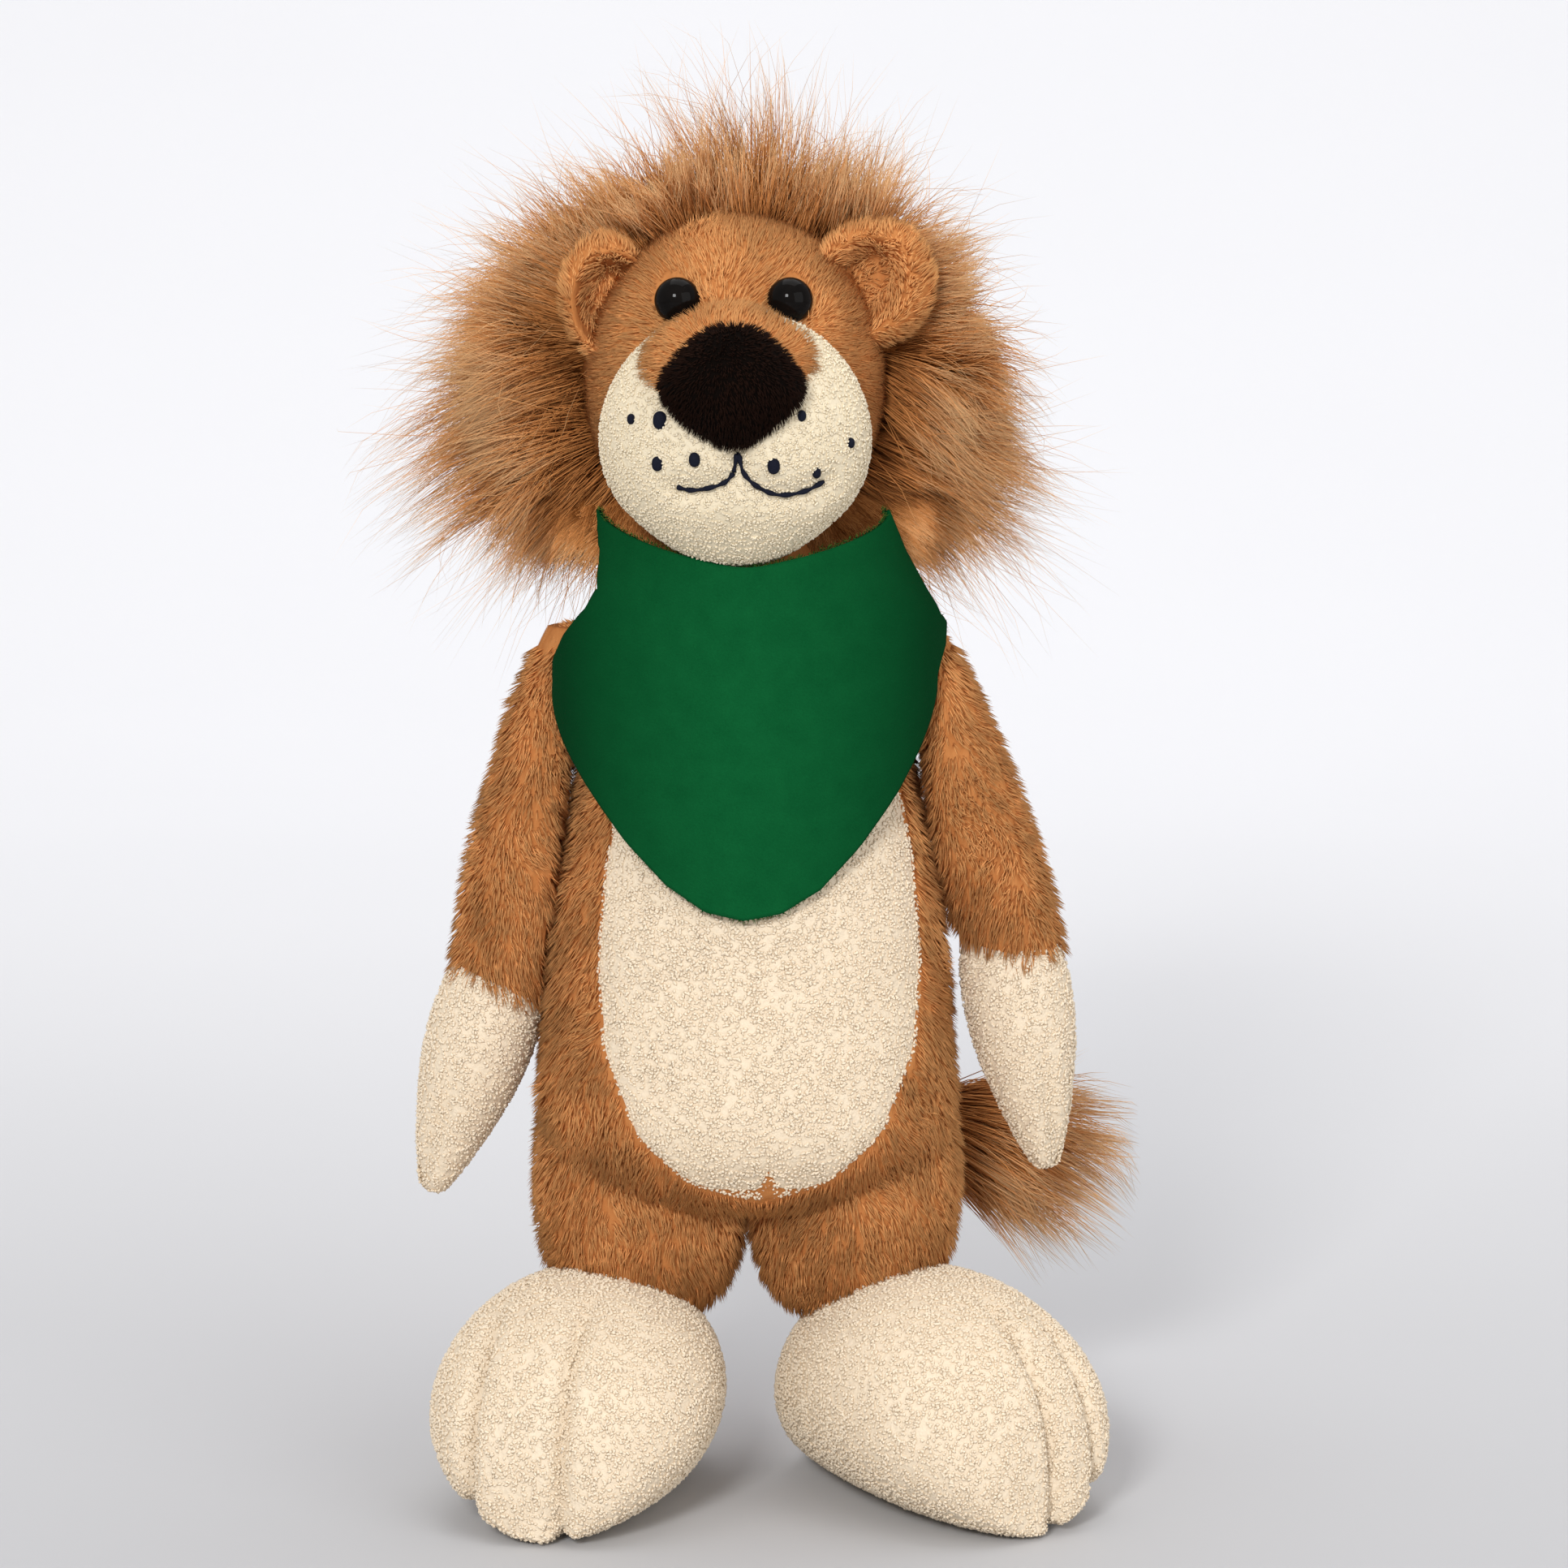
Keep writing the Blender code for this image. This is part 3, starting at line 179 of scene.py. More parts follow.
class Paint:
    """A material and the one call that adds nodes to it."""

    def __init__(self, name, roughness=0.9):
        self.material = bpy.data.materials.new(name)
        self.material.use_nodes = True
        self.tree = self.material.node_tree
        self.shader = self.tree.nodes["Principled BSDF"]
        self.shader.inputs["Roughness"].default_value = roughness
        if roughness > 0.6:
            self.gloss(MATT)

    def gloss(self, level):
        self.shader.inputs["Specular IOR Level"].default_value = level

    def node(self, kind, settings=None, inputs=None, output=0):
        made = self.tree.nodes.new(kind)
        for name, value in (settings or {}).items():
            setattr(made, name, value)
        for name, value in (inputs or {}).items():
            self.feed(made.inputs[name], value)
        return Value(self, made.outputs[output])

    def feed(self, socket, value):
        if isinstance(value, Value):
            self.tree.links.new(value.socket, socket)
        elif hasattr(value, "__len__") and len(value) == 3 and socket.type == "RGBA":
            socket.default_value = (*value, 1.0)
        else:
            socket.default_value = value

    def set(self, name, value):
        self.feed(self.shader.inputs[name], value)

    def mix(self, share, first, second, way="MIX"):
        return self.node("ShaderNodeMix", {"data_type": "RGBA", "blend_type": way},
                         {"Factor": share, 6: first, 7: second}, 2)

    def place(self):
        return self.node("ShaderNodeTexCoord", output=3)

    def noise(self, place, scale, detail=3.0):
        return self.node("ShaderNodeTexNoise", {}, {"Vector": place, "Scale": scale,
                                                    "Detail": detail, "Roughness": 0.55})

    def split(self, vector):
        """The three numbers of a vector, each to stand in a sum."""
        made = self.node("ShaderNodeSeparateXYZ", {}, {0: vector}).socket.node
        return [Value(self, socket) for socket in made.outputs]

    def upper_half(self, value):
        """1 where the value is over a half, 0 elsewhere."""
        return self.node("ShaderNodeMath", {"operation": "GREATER_THAN"}, {0: value, 1: 0.5})

    def stretch(self, place, scale):
        return self.node("ShaderNodeVectorMath", {"operation": "MULTIPLY"},
                         {0: place, 1: scale})

    def bump(self, height, strength, distance):
        self.set("Normal", self.node("ShaderNodeBump", {}, {
            "Height": height, "Strength": strength, "Distance": distance}))

    def along_hair(self):
        """The two numbers kept in a hair's UV map: its shade, and its place from root to tip."""
        return self.split(self.node("ShaderNodeUVMap", {"uv_map": "OFBake"}))[:2]


def hair_paint(name, root, tip, roughness=0.8, middle=None, spread=0.5):
    """Root colour to tip colour along each hair, lighter or darker by the hair's shade."""
    paint = Paint(name, roughness)
    paint.gloss(MATT)
    shade, along = paint.along_hair()
    colour = paint.mix(along ** 0.8, root, tip)
    if middle is not None:
        low = paint.mix(along * 2.0, root, middle)
        high = paint.mix(along * 2.0 - 1.0, middle, tip)
        colour = paint.mix(paint.upper_half(along), low, high)
    light = shade * spread + (1.0 - spread * 0.5)
    grey = paint.node("ShaderNodeCombineColor", {}, {0: light, 1: light, 2: light})
    paint.set("Base Color", paint.mix(1.0, colour, grey, "MULTIPLY"))
    paint.set("Roughness", shade * 0.15 + (roughness - 0.08))
    return paint.material


def cloth_paint(name, dark, light, grain, depth, streak=(1.0, 1.0, 1.0), roughness=0.95):
    """Backing cloth: fine grain between two colours, with broad worn patches and a bump."""
    paint = Paint(name, roughness)
    place = paint.stretch(paint.place(), streak)
    fine = paint.noise(place, grain, 4.0)
    broad = paint.noise(paint.place(), 60.0, 2.0)
    share = fine * 0.75 + broad * 0.35 - 0.05
    paint.set("Base Color", paint.mix(share, dark, light))
    paint.set("Roughness", fine * 0.1 + (roughness - 0.07))
    paint.bump(fine, 0.7, depth)
    return paint.material


# Surfaces


def share_at(shares, along):
    """Evenly spaced shares read smoothly: the cubic through the two nearest on each side."""
    shares = np.asarray(shares, float)
    count = len(shares) - 1
    place = np.clip(along, 0.0, 1.0) * count
    index = np.minimum(place.astype(int), count - 1)
    part = place - index
    before = shares[np.maximum(index - 1, 0)]
    start = shares[index]
    end = shares[index + 1]
    after = shares[np.minimum(index + 2, count)]
    return 0.5 * (2.0 * start + (end - before) * part
                  + (2.0 * before - 5.0 * start + 4.0 * end - after) * part ** 2
                  + (3.0 * start - before - 3.0 * end + after) * part ** 3)


def turned(tilt=0.0, pitch=0.0, yaw=0.0):
    """Turns about X by pitch, then about Y by tilt, then about Z by yaw, as one matrix."""
    cp, sp = math.cos(pitch), math.sin(pitch)
    ct, st = math.cos(tilt), math.sin(tilt)
    cy, sy = math.cos(yaw), math.sin(yaw)
    about_x = np.array(((1, 0, 0), (0, cp, -sp), (0, sp, cp)), float)
    about_y = np.array(((ct, 0, st), (0, 1, 0), (-st, 0, ct)), float)
    about_z = np.array(((cy, -sy, 0), (sy, cy, 0), (0, 0, 1)), float)
    return about_z @ about_y @ about_x


class Form:
    """A stuffed form along its own +Z. Each ring is an ellipse whose half sizes are the
    form's, times a share read from a table, times a bulge that closes both ends: twice the
    root of along times one less along, to the power of the blunt share."""

    def __init__(self, length, width, depth, width_shares, depth_shares=None,
                 lean_shares=(0.0, 0.0), blunt=1.0, level=0.0, base=(0, 0, 0), turn=None):
        self.length = length * MM
        self.width = width * MM
        self.depth = depth * MM
        self.width_shares = width_shares
        self.depth_shares = depth_shares or width_shares
        self.lean_shares = lean_shares
        self.blunt = blunt
        self.level = level
        self.base = np.array(base, float) * MM
        self.turn = np.eye(3) if turn is None else turn

    def rings(self, along, grow=0.0):
        bulge = (2.0 * np.sqrt(np.clip(along * (1.0 - along), 0.0, 1.0))) ** self.blunt
        half_width = bulge * (self.width / 2.0 * share_at(self.width_shares, along) + grow)
        own_depth = bulge * self.depth / 2.0 * share_at(self.depth_shares, along)
        lean = self.depth * share_at(self.lean_shares, along)
        lean = lean - (self.depth / 2.0 - own_depth + grow * (1.0 - bulge)) * self.level
        return half_width, own_depth + bulge * grow, lean

    def surface(self, around, rows, grow=0.0, start=0.0, end=1.0, hem=0.0):
        """Rows spaced as the cosine of an even angle from start to end. A hem adds rows
        that turn in at the start and close inside."""
        first = math.acos(1.0 - 2.0 * start)
        last = math.acos(1.0 - 2.0 * end)
        along = 0.5 - 0.5 * np.cos(np.linspace(first, last, rows))
        half_width, half_depth, lean = self.rings(along, grow)
        height = along * (self.length + 2.0 * grow) - grow
        if hem:
            inner = np.array((0.02, 0.6, 0.9))
            rise = np.array((3.0, 2.5, 0.4)) * hem
            half_width = np.concatenate((inner * half_width[0], half_width))
            half_depth = np.concatenate((inner * half_depth[0], half_depth))
            lean = np.concatenate((np.full(3, lean[0]), lean))
            height = np.concatenate((height[0] + rise, height))
        angle = np.linspace(0.0, 2.0 * math.pi, around, endpoint=False)
        points = np.stack((half_width[:, None] * np.cos(angle),
                           half_depth[:, None] * np.sin(angle) + lean[:, None],
                           np.repeat(height[:, None], around, 1)), -1)
        return Surface.closed(points @ self.turn.T + self.base)

    def front(self, x, z, grow=0.0):
        """Depth of the front of an upright form at places across and up."""
        along = np.clip((z - self.base[2]) / self.length, 0.001, 0.999)
        half_width, half_depth, lean = self.rings(along, grow)
        across = np.clip(1.0 - ((x - self.base[0]) / half_width) ** 2, 0.0, 1.0)
        return self.base[1] + lean - half_depth * np.sqrt(across)


class Surface:
    """Points and faces of a closed or solid surface, all as arrays."""

    def __init__(self, points, quads, tris):
        self.points = points
        self.quads = quads
        self.tris = tris

    @classmethod
    def closed(cls, grid):
        """A grid of rings from one pole to the other, each end closed by a fan to its middle."""
        rows, around = grid.shape[:2]
        index = np.arange(rows * around).reshape(rows, around)
        ahead = np.roll(index, -1, 1)
        quads = np.stack((index[:-1], ahead[:-1], ahead[1:], index[1:]), -1).reshape(-1, 4)
        low, high = rows * around, rows * around + 1
        tris = np.concatenate((
            np.stack((np.full(around, low), ahead[0], index[0]), -1),
            np.stack((np.full(around, high), index[-1], ahead[-1]), -1)))
        ends = np.stack((grid[0].mean(0), grid[-1].mean(0)))
        return cls(np.concatenate((grid.reshape(-1, 3), ends)), quads, tris)

    @classmethod
    def solid_sheet(cls, front, thickness):
        """An open grid given a back at a distance along its normals, with its rim closed."""
        rows, columns = front.shape[:2]
        across = np.gradient(front, axis=1)
        down = np.gradient(front, axis=0)
        normal = np.cross(across, down)
        normal /= np.linalg.norm(normal, axis=-1, keepdims=True) + 1e-12
        back = front - normal * thickness
        index = np.arange(rows * columns).reshape(rows, columns)
        behind = index + rows * columns
        faces = [np.stack((index[:-1, :-1], index[:-1, 1:], index[1:, 1:], index[1:, :-1]), -1),
                 np.stack((behind[:-1, :-1], behind[1:, :-1], behind[1:, 1:],
                           behind[:-1, 1:]), -1)]
        for row, flip in ((0, False), (-1, True)):
            side = np.stack((index[row, :-1], behind[row, :-1], behind[row, 1:],
                             index[row, 1:]), -1)
            faces.append(side[:, ::-1] if flip else side)
        for column, flip in ((0, True), (-1, False)):
            side = np.stack((index[:-1, column], behind[:-1, column], behind[1:, column],
                             index[1:, column]), -1)
            faces.append(side[:, ::-1] if flip else side)
        quads = np.concatenate([face.reshape(-1, 4) for face in faces])
        return cls(np.concatenate((front.reshape(-1, 3), back.reshape(-1, 3))), quads,
                   np.zeros((0, 3), int))

    def triangles(self):
        quads = self.quads
        return np.concatenate((quads[:, :3], quads[:, (0, 2, 3)], self.tris))

    def normals(self):
        """At each point, the sum of the area normals of the triangles that meet there."""
        tris = self.triangles()
        a, b, c = (self.points[tris[:, i]] for i in range(3))
        face = np.cross(b - a, c - a)
        total = np.zeros_like(self.points)
        for i in range(3):
            np.add.at(total, tris[:, i], face)
        return total / (np.linalg.norm(total, axis=1, keepdims=True) + 1e-15)

    def sow(self, density, seed, keep=None):
        """Roots spread by area: a triangle is drawn by its area times what keep allows."""
        rng = np.random.default_rng(seed)
        tris = self.triangles()
        normals = self.normals()
        a, b, c = (self.points[tris[:, i]] for i in range(3))
        area = np.linalg.norm(np.cross(b - a, c - a), axis=1) / 2.0
        if keep is not None:
            area = area * keep((a + b + c) / 3.0)
        count = int(area.sum() * density * 1e4)
        drawn = rng.choice(len(tris), count, p=area / area.sum())
        first = np.sqrt(rng.random((count, 1)))
        second = rng.random((count, 1))
        share = (1.0 - first, first * (1.0 - second), first * second)
        roots = sum(s * self.points[tris[drawn, i]] for i, s in enumerate(share))
        normal = sum(s * normals[tris[drawn, i]] for i, s in enumerate(share))
        return roots, unit(normal), rng


def unit(vectors):
    return vectors / (np.linalg.norm(vectors, axis=-1, keepdims=True) + 1e-12)


def waves(points, size, seed, parts=5):
    """Smooth uneven field from -1 to 1: the mean of sines along random directions."""
    rng = np.random.default_rng(seed)
    total = np.zeros(len(points))
    for _ in range(parts):
        direction = unit(rng.normal(size=3)) * (2.0 * math.pi / size) * rng.uniform(0.6, 1.5)
        total += np.sin(points @ direction + rng.uniform(0.0, 2.0 * math.pi))
    return total / parts * 1.6


def sway(points, size, seed):
    return np.stack([waves(points, size, seed + i) for i in range(3)], -1)


def make_object(name, points, faces, material, body, uvs=None, smooth=True):
    """A mesh from whole arrays, riding on its body."""
    mesh = bpy.data.meshes.new(name)
    corners = np.concatenate([face.ravel() for face in faces]).astype(np.int32)
    sizes = np.concatenate([np.full(len(face), face.shape[1]) for face in faces])
    starts = np.concatenate(((0,), np.cumsum(sizes)[:-1])).astype(np.int32)
    mesh.vertices.add(len(points))
    mesh.vertices.foreach_set("co", np.asarray(points, np.float32).ravel())
    mesh.loops.add(len(corners))
    mesh.loops.foreach_set("vertex_index", corners)
    mesh.polygons.add(len(sizes))
    mesh.polygons.foreach_set("loop_start", starts)
    mesh.polygons.foreach_set("use_smooth", np.full(len(sizes), smooth))
    mesh.update(calc_edges=True)
    if uvs is not None:
        layer = mesh.uv_layers.new(name="OFBake")
        layer.uv.foreach_set("vector", np.asarray(uvs, np.float32)[corners].ravel())
    mesh.validate()
    mesh.materials.append(material)
    obj = bpy.data.objects.new(name, mesh)
    bpy.context.scene.collection.objects.link(obj)
    if body:
        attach(obj, body)
    return obj


def skin(name, surface, material, body):
    faces = [face for face in (surface.quads, surface.tris) if len(face)]
    obj = make_object(name, surface.points, faces, material, body)
    return obj


def across_of(direction):
    """Two directions square to each given one."""
    helper = np.where(np.abs(direction[..., 2:3]) < 0.9, (0.0, 0.0, 1.0), (1.0, 0.0, 0.0))
    first = unit(np.cross(direction, helper))
    return first, np.cross(direction, first)


def hairs(name, paths, radius, shade, material, body, taper=1.0):
    """Closed three-sided hairs: rings of three points round each path, thinner towards the
    tip by the taper power, closed by a point at the tip and a face at the root."""
    count, steps = paths.shape[:2]
    tangent = unit(np.gradient(paths, axis=1)[:, :-1])
    first, second = across_of(tangent)
    angle = np.arange(3) * (2.0 * math.pi / 3.0)
    along = np.arange(steps - 1) / (steps - 1)
    size = radius[:, None] * (1.0 - along) ** taper
    ring = (first[:, :, None] * np.cos(angle)[:, None]
            + second[:, :, None] * np.sin(angle)[:, None])
    rings = paths[:, :-1, None] + ring * size[:, :, None, None]
    points = np.concatenate((rings.reshape(count, -1, 3), paths[:, -1:]), 1)
    each = points.shape[1]
    tip = each - 1
    local = [(2, 1, 0)]
    for step in range(steps - 2):
        for i in range(3):
            a, b = step * 3 + i, step * 3 + (i + 1) % 3
            local += [(a, b, b + 3), (a, b + 3, a + 3)]
    for i in range(3):
        local.append(((steps - 2) * 3 + i, (steps - 2) * 3 + (i + 1) % 3, tip))
    faces = np.array(local)[None] + (np.arange(count) * each)[:, None, None]
    v = np.concatenate((np.repeat(along, 3), (1.0,)))
    u = np.clip(shade, 0.01, 0.98)[:, None] + np.linspace(0.0, 0.012, each)[None]
    uvs = np.stack((u, np.repeat(v[None], count, 0)), -1)
    return make_object(name, points.reshape(-1, 3), [faces.reshape(-1, 3)], material, body,
                       uvs.reshape(-1, 2))


def pile(name, surface, density, length, flow, material, body, seed, keep=None, width=0.46,
         lift=0.5, lock=4.5):
    """Short pile: each hair leans from the surface along the flow, swayed by a smooth field,
    and its tip is drawn to the tip of the nearest of the hairs picked as locks."""
    roots, normal, rng = surface.sow(density, seed, keep)
    count = len(roots)
    way = flow(roots)
    way = unit(way - normal * np.sum(way * normal, 1, keepdims=True))
    way = unit(way + 0.55 * sway(roots, 22 * MM, seed) + 0.25 * rng.normal(size=(count, 3)))
    way = way - normal * np.sum(way * normal, 1, keepdims=True)
    lifted = normal * (lift + 0.2 * rng.random((count, 1)))
    size = length * (0.7 + 0.5 * rng.random((count, 1)))
    tips = roots + unit(way + lifted) * size
    tips = gather(roots, tips, rng, lock * MM, 0.3)
    paths = np.stack((roots - normal * 0.5 * MM, tips), 1)
    shade = 0.5 + 0.28 * waves(roots, 16 * MM, seed + 9) + 0.16 * rng.normal(size=count)
    return hairs(name, paths, np.full(count, width * MM / 1.7), shade, material, body)


def nearest_of(roots, amount, rng):
    """Some of the roots picked as locks, and for each root which lock is nearest, worked out
    in blocks to spare memory."""
    picked = rng.choice(len(roots), min(amount, len(roots)), replace=False)
    nearest = np.zeros(len(roots), int)
    for start in range(0, len(roots), 4000):
        block = roots[start:start + 4000]
        far = ((block[:, None] - roots[picked][None]) ** 2).sum(-1)
        nearest[start:start + 4000] = far.argmin(1)
    return picked, nearest


def gather(roots, tips, rng, spacing, pull):
    """Draws each tip part of the way to the tip of its nearest lock."""
    spread = roots.max(0) - roots.min(0)
    area = 2.0 * (spread[0] * spread[1] + spread[1] * spread[2] + spread[0] * spread[2])
    picked, nearest = nearest_of(roots, int(np.clip(area / spacing ** 2, 8, 2600)), rng)
    return tips + (tips[picked][nearest] - tips) * pull


def loops(name, surface, density, size, material, body, seed, keep=None, proud=0.25):
    """Looped cloth: small eight-sided grains, longer than thick, lying every way along it, each
    coloured darker on its low side as painted shade between the grains.
    """
    roots, normal, rng = surface.sow(density, seed, keep)
    count = len(roots)
    along = rng.normal(size=(count, 3))
    along = unit(along - normal * np.sum(along * normal, 1, keepdims=True) * 0.75)
    side = unit(np.cross(normal, along))
    top = np.cross(along, side)
    half = size * (0.38 + 0.3 * rng.random((count, 1)))
    thick = size * (0.26 + 0.12 * rng.random((count, 1)))
    centre = roots + normal * (proud * size * rng.random((count, 1)))
    points = np.stack((centre + along * half, centre - along * half, centre + side * thick,
                       centre - side * thick, centre + top * thick, centre - top * thick), 1)
    local = np.array(((0, 2, 4), (2, 1, 4), (1, 3, 4), (3, 0, 4),
                      (2, 0, 5), (1, 2, 5), (3, 1, 5), (0, 3, 5)))
    faces = local[None] + (np.arange(count) * 6)[:, None, None]
    shade = 0.5 + 0.22 * waves(roots, 9 * MM, seed) + 0.17 * rng.normal(size=count)
    # Painted shade: each point's height over the cloth becomes the second number of the UV map,
    # which colours the low side of a grain darker than its top.
    height = np.sum((points - roots[:, None]) * normal[:, None], -1) / size
    u = np.clip(shade, 0.01, 0.97)[:, None] + np.linspace(0.0, 0.012, 6)[None]
    uvs = np.stack((u, np.clip(height * 1.1 + 0.35, 0.0, 1.0)), -1)
    return make_object(name, points.reshape(-1, 3), [faces.reshape(-1, 3)], material, body,
                       uvs.reshape(-1, 2))


def tube(path, radius, around=10):
    """A round profile carried along a path, both ends closed."""
    path = np.asarray(path, float)
    tangent = unit(np.gradient(path, axis=0))
    first, second = across_of(tangent)
    angle = np.linspace(0.0, 2.0 * math.pi, around, endpoint=False)
    radius = np.broadcast_to(radius, len(path))
    ring = (first[:, None] * np.cos(angle)[:, None] + second[:, None] * np.sin(angle)[:, None])
    return Surface.closed(path[:, None] + ring * radius[:, None, None])


def smooth_path(points, steps):
    """A smooth curve through points: each axis read as an evenly spaced table."""
    points = np.asarray(points, float)
    along = np.linspace(0.0, 1.0, steps)
    return np.stack([share_at(points[:, i], along) for i in range(3)], -1)


def dent(distance, width, depth):
    """A valley as deep as depth, falling off as the bell curve of distance over width."""
    return depth * np.exp(-(distance / width) ** 2)


# The lion's own forms, in millimetres

TORSO = Form(139, 94, 72, (1.22, 1.15, 1.03, 0.96, 0.91, 0.85, 0.80, 0.80, 0.52),
             (1.10, 1.12, 1.04, 0.98, 0.93, 0.87, 0.80, 0.76, 0.55),
             (-0.02, -0.03, -0.02, 0.0, 0.0, 0.01, 0.02, 0.03, 0.03), 0.4,
             base=(0, 0, 66))
HEAD = Form(73, 62.5, 62, (1.0, 1.02, 1.03, 1.02, 1.0), (0.96, 1.0, 1.02, 1.01, 0.98),
            blunt=0.92, base=(-2.5, -4, 214))
MUZZLE = Form(57, 56.5, 44, (0.84, 1.02, 1.04, 1.0, 0.90), (0.90, 1.02, 1.04, 0.98, 0.90),
              (0.02, 0.0, -0.02, -0.01, 0.02), 0.9, base=(-2.2, -27, 212))
BRIDGE = Form(27, 37, 36, (0.9, 1.0, 1.02, 0.98, 0.8), (1.0, 1.0, 1.0, 0.96, 0.85),
              base=(-3.2, -34, 242))
NOSE = Form(25.5, 29.6, 20, (0.62, 0.86, 1.02, 0.88, 0.74), (0.90, 1.0, 1.06, 1.0, 0.90),
            blunt=0.8, base=(-2.7, -48, 239.5))
MANE = Form(98, 108, 76, (0.90, 1.0, 1.03, 1.0, 0.92), (0.80, 0.94, 1.0, 1.0, 0.92),
            blunt=0.9, base=(-2.5, 17, 196))
PANEL_WIDTHS = ((0.0, 0.0), (0.05, 0.42), (0.17, 0.76), (0.36, 0.96), (0.56, 1.0),
                (0.80, 0.95), (1.0, 0.84))
EYES_X = (-15.0, 9.5)
EYES_Z = 270.0


def panel_half(z):
    """Half width of the belly panel at a height, read from its table."""
    heights, shares = zip(*PANEL_WIDTHS)
    return np.interp((z - 70 * MM) / (94 * MM), heights, shares, left=0.0) * 36 * MM


def on_panel(points):
    """1 in the belly panel, 0 round it."""
    half = panel_half(points[:, 2])
    inside = (np.abs(points[:, 0] - 3 * MM) < half) & (points[:, 1] < 0)
    return inside.astype(float)


def downwards(points):
    return np.tile((0.0, 0.0, -1.0), (len(points), 1))


class Cloths:
    """Materials shared by several pieces, made once when first asked for."""

    made = {}
    backings = {"cream_backing": ("cream_root", "cream_tip", 900.0, 0.0008),
                "fleece_backing": ("fleece_root", "fleece_tip", 1300.0, 0.0005),
                "nose_backing": ("nose_root", "nose_root", 1200.0, 0.0004)}
    piles = {"brown_pile": ("brown_plush_pile", "brown_root", "brown_tip", 0.85, 0.6),
             # Painted shade: for the two loop materials, root to tip runs by height over the
             # cloth, darker low between the loops.
             "cream_loops": ("cream_boucle_loops", "cream_root", "cream_tip", 0.92, 0.09),
             "fleece_loops": ("muzzle_fleece_loops", "fleece_root", "fleece_tip", 0.92, 0.16),
             "nose_velvet": ("nose_velvet", "nose_root", "nose_tip", 0.7, 0.5)}

    @classmethod
    def get(cls, name):
        if name not in cls.made:
            cls.made[name] = cls.make(name, bpy.context.scene.lion_cloth)
        return cls.made[name]

    @classmethod
    def make(cls, name, cloth):
        if name in cls.backings:
            dark, light, grain, depth = cls.backings[name]
            return cloth_paint(name, getattr(cloth, dark), getattr(cloth, light), grain, depth)
        if name in cls.piles:
            label, root, tip, roughness, spread = cls.piles[name]
            return hair_paint(label, getattr(cloth, root), getattr(cloth, tip), roughness,
                              spread=spread)
        return getattr(cls, name)(cloth)

    @staticmethod
    def brown_backing(cloth):
        middle = tuple(0.5 * (a + b) for a, b in zip(cloth.brown_root, cloth.brown_tip))
        return cloth_paint("brown_backing", cloth.brown_root, middle, 420.0, 0.0012,
                           (1.0, 1.0, 0.35))

    @staticmethod
    def felt(cloth):
        """Pressed wool: two sizes of fibre noise on a green, with painted shade that darkens the
        green towards both sides, where the cloth turns away from the light.
        """
        paint = Paint("bandana_felt", 0.95)
        place = paint.place()
        fine = paint.noise(place, 2600.0, 3.0)
        broad = paint.noise(place, 180.0, 4.0)
        share = fine * 0.55 + broad * 0.55 - 0.05
        dark = tuple(c * 0.62 for c in cloth.felt)
        light = tuple(min(c * 1.25 + 0.004, 1.0) for c in cloth.felt)
        # Painted shade: the green is mixed towards a dark copy of itself by the square of x, so
        # both sides of the bandana look shaded.
        side = paint.split(place)[0] / 0.046
        colour = paint.mix(share, dark, light)
        paint.set("Base Color", paint.mix(side ** 2.0 * 1.3, colour,
                                          tuple(c * 0.42 for c in cloth.felt)))
        paint.set("Roughness", fine * 0.08 + 0.9)
        paint.bump(fine + broad * 0.5, 0.5, 0.0004)
        return paint.material

    @staticmethod
    def filling(cloth):
        """Loose polyester wadding: cloudy off-white with a soft bump."""
        return cloth_paint("fibre_filling", srgb(214, 214, 208), srgb(244, 244, 240), 260.0,
                           0.002)

    @staticmethod
    def washer(cloth):
        paint = Paint("washer_plastic", 0.4)
        grain = paint.noise(paint.place(), 900.0, 2.0)
        paint.set("Base Color", paint.mix(grain, srgb(214, 212, 204), srgb(236, 234, 228)))
        paint.set("Roughness", grain * 0.12 + 0.36)
        return paint.material

    @staticmethod
    def thread(cloth):
        """Twisted cotton: fine bands of bump over a near-black blue."""
        paint = Paint("embroidery_thread", 0.7)
        grain = paint.noise(paint.stretch(paint.place(), (1.0, 1.0, 2.0)), 2400.0, 2.0)
        paint.set("Base Color", paint.mix(grain, tuple(c * 0.5 for c in cloth.thread),
                                          tuple(c * 1.6 for c in cloth.thread)))
        paint.set("Roughness", grain * 0.2 + 0.55)
        paint.bump(grain, 0.5, 0.0003)
        return paint.material

    @staticmethod
    def eye(cloth):
        paint = Paint("eye_plastic", 0.06)
        paint.gloss(0.07)
        cloud = paint.noise(paint.place(), 300.0, 2.0)
        paint.set("Base Color", paint.mix(cloud, (0.002, 0.002, 0.002), (0.008, 0.006, 0.005)))
        paint.set("Roughness", cloud * 0.05 + 0.03)
        return paint.material


# Pieces


def dressed(name, surface, cloth, body, nodes=()):
    """A surface in one of the cloths, in place of some CAD nodes."""
    obj = skin(name, surface, Cloths.get(cloth), body)
    if nodes:
        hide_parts(*nodes)
    return obj


def brown_fur(name, surface, flow, body, seed, keep=None, dense=1.0, long=1.0, **look):
    cloth = bpy.context.scene.lion_cloth
    fur = pile(name, surface, cloth.pile_count * dense, cloth.pile * long, flow,
               Cloths.get("brown_pile"), body, seed, keep, **look)
    return fur


def cream_grains(name, surface, body, seed, keep):
    cloth = bpy.context.scene.lion_cloth
    grains = loops(name, surface, cloth.loop_count, cloth.loop, Cloths.get("cream_loops"), body,
                   seed, keep)


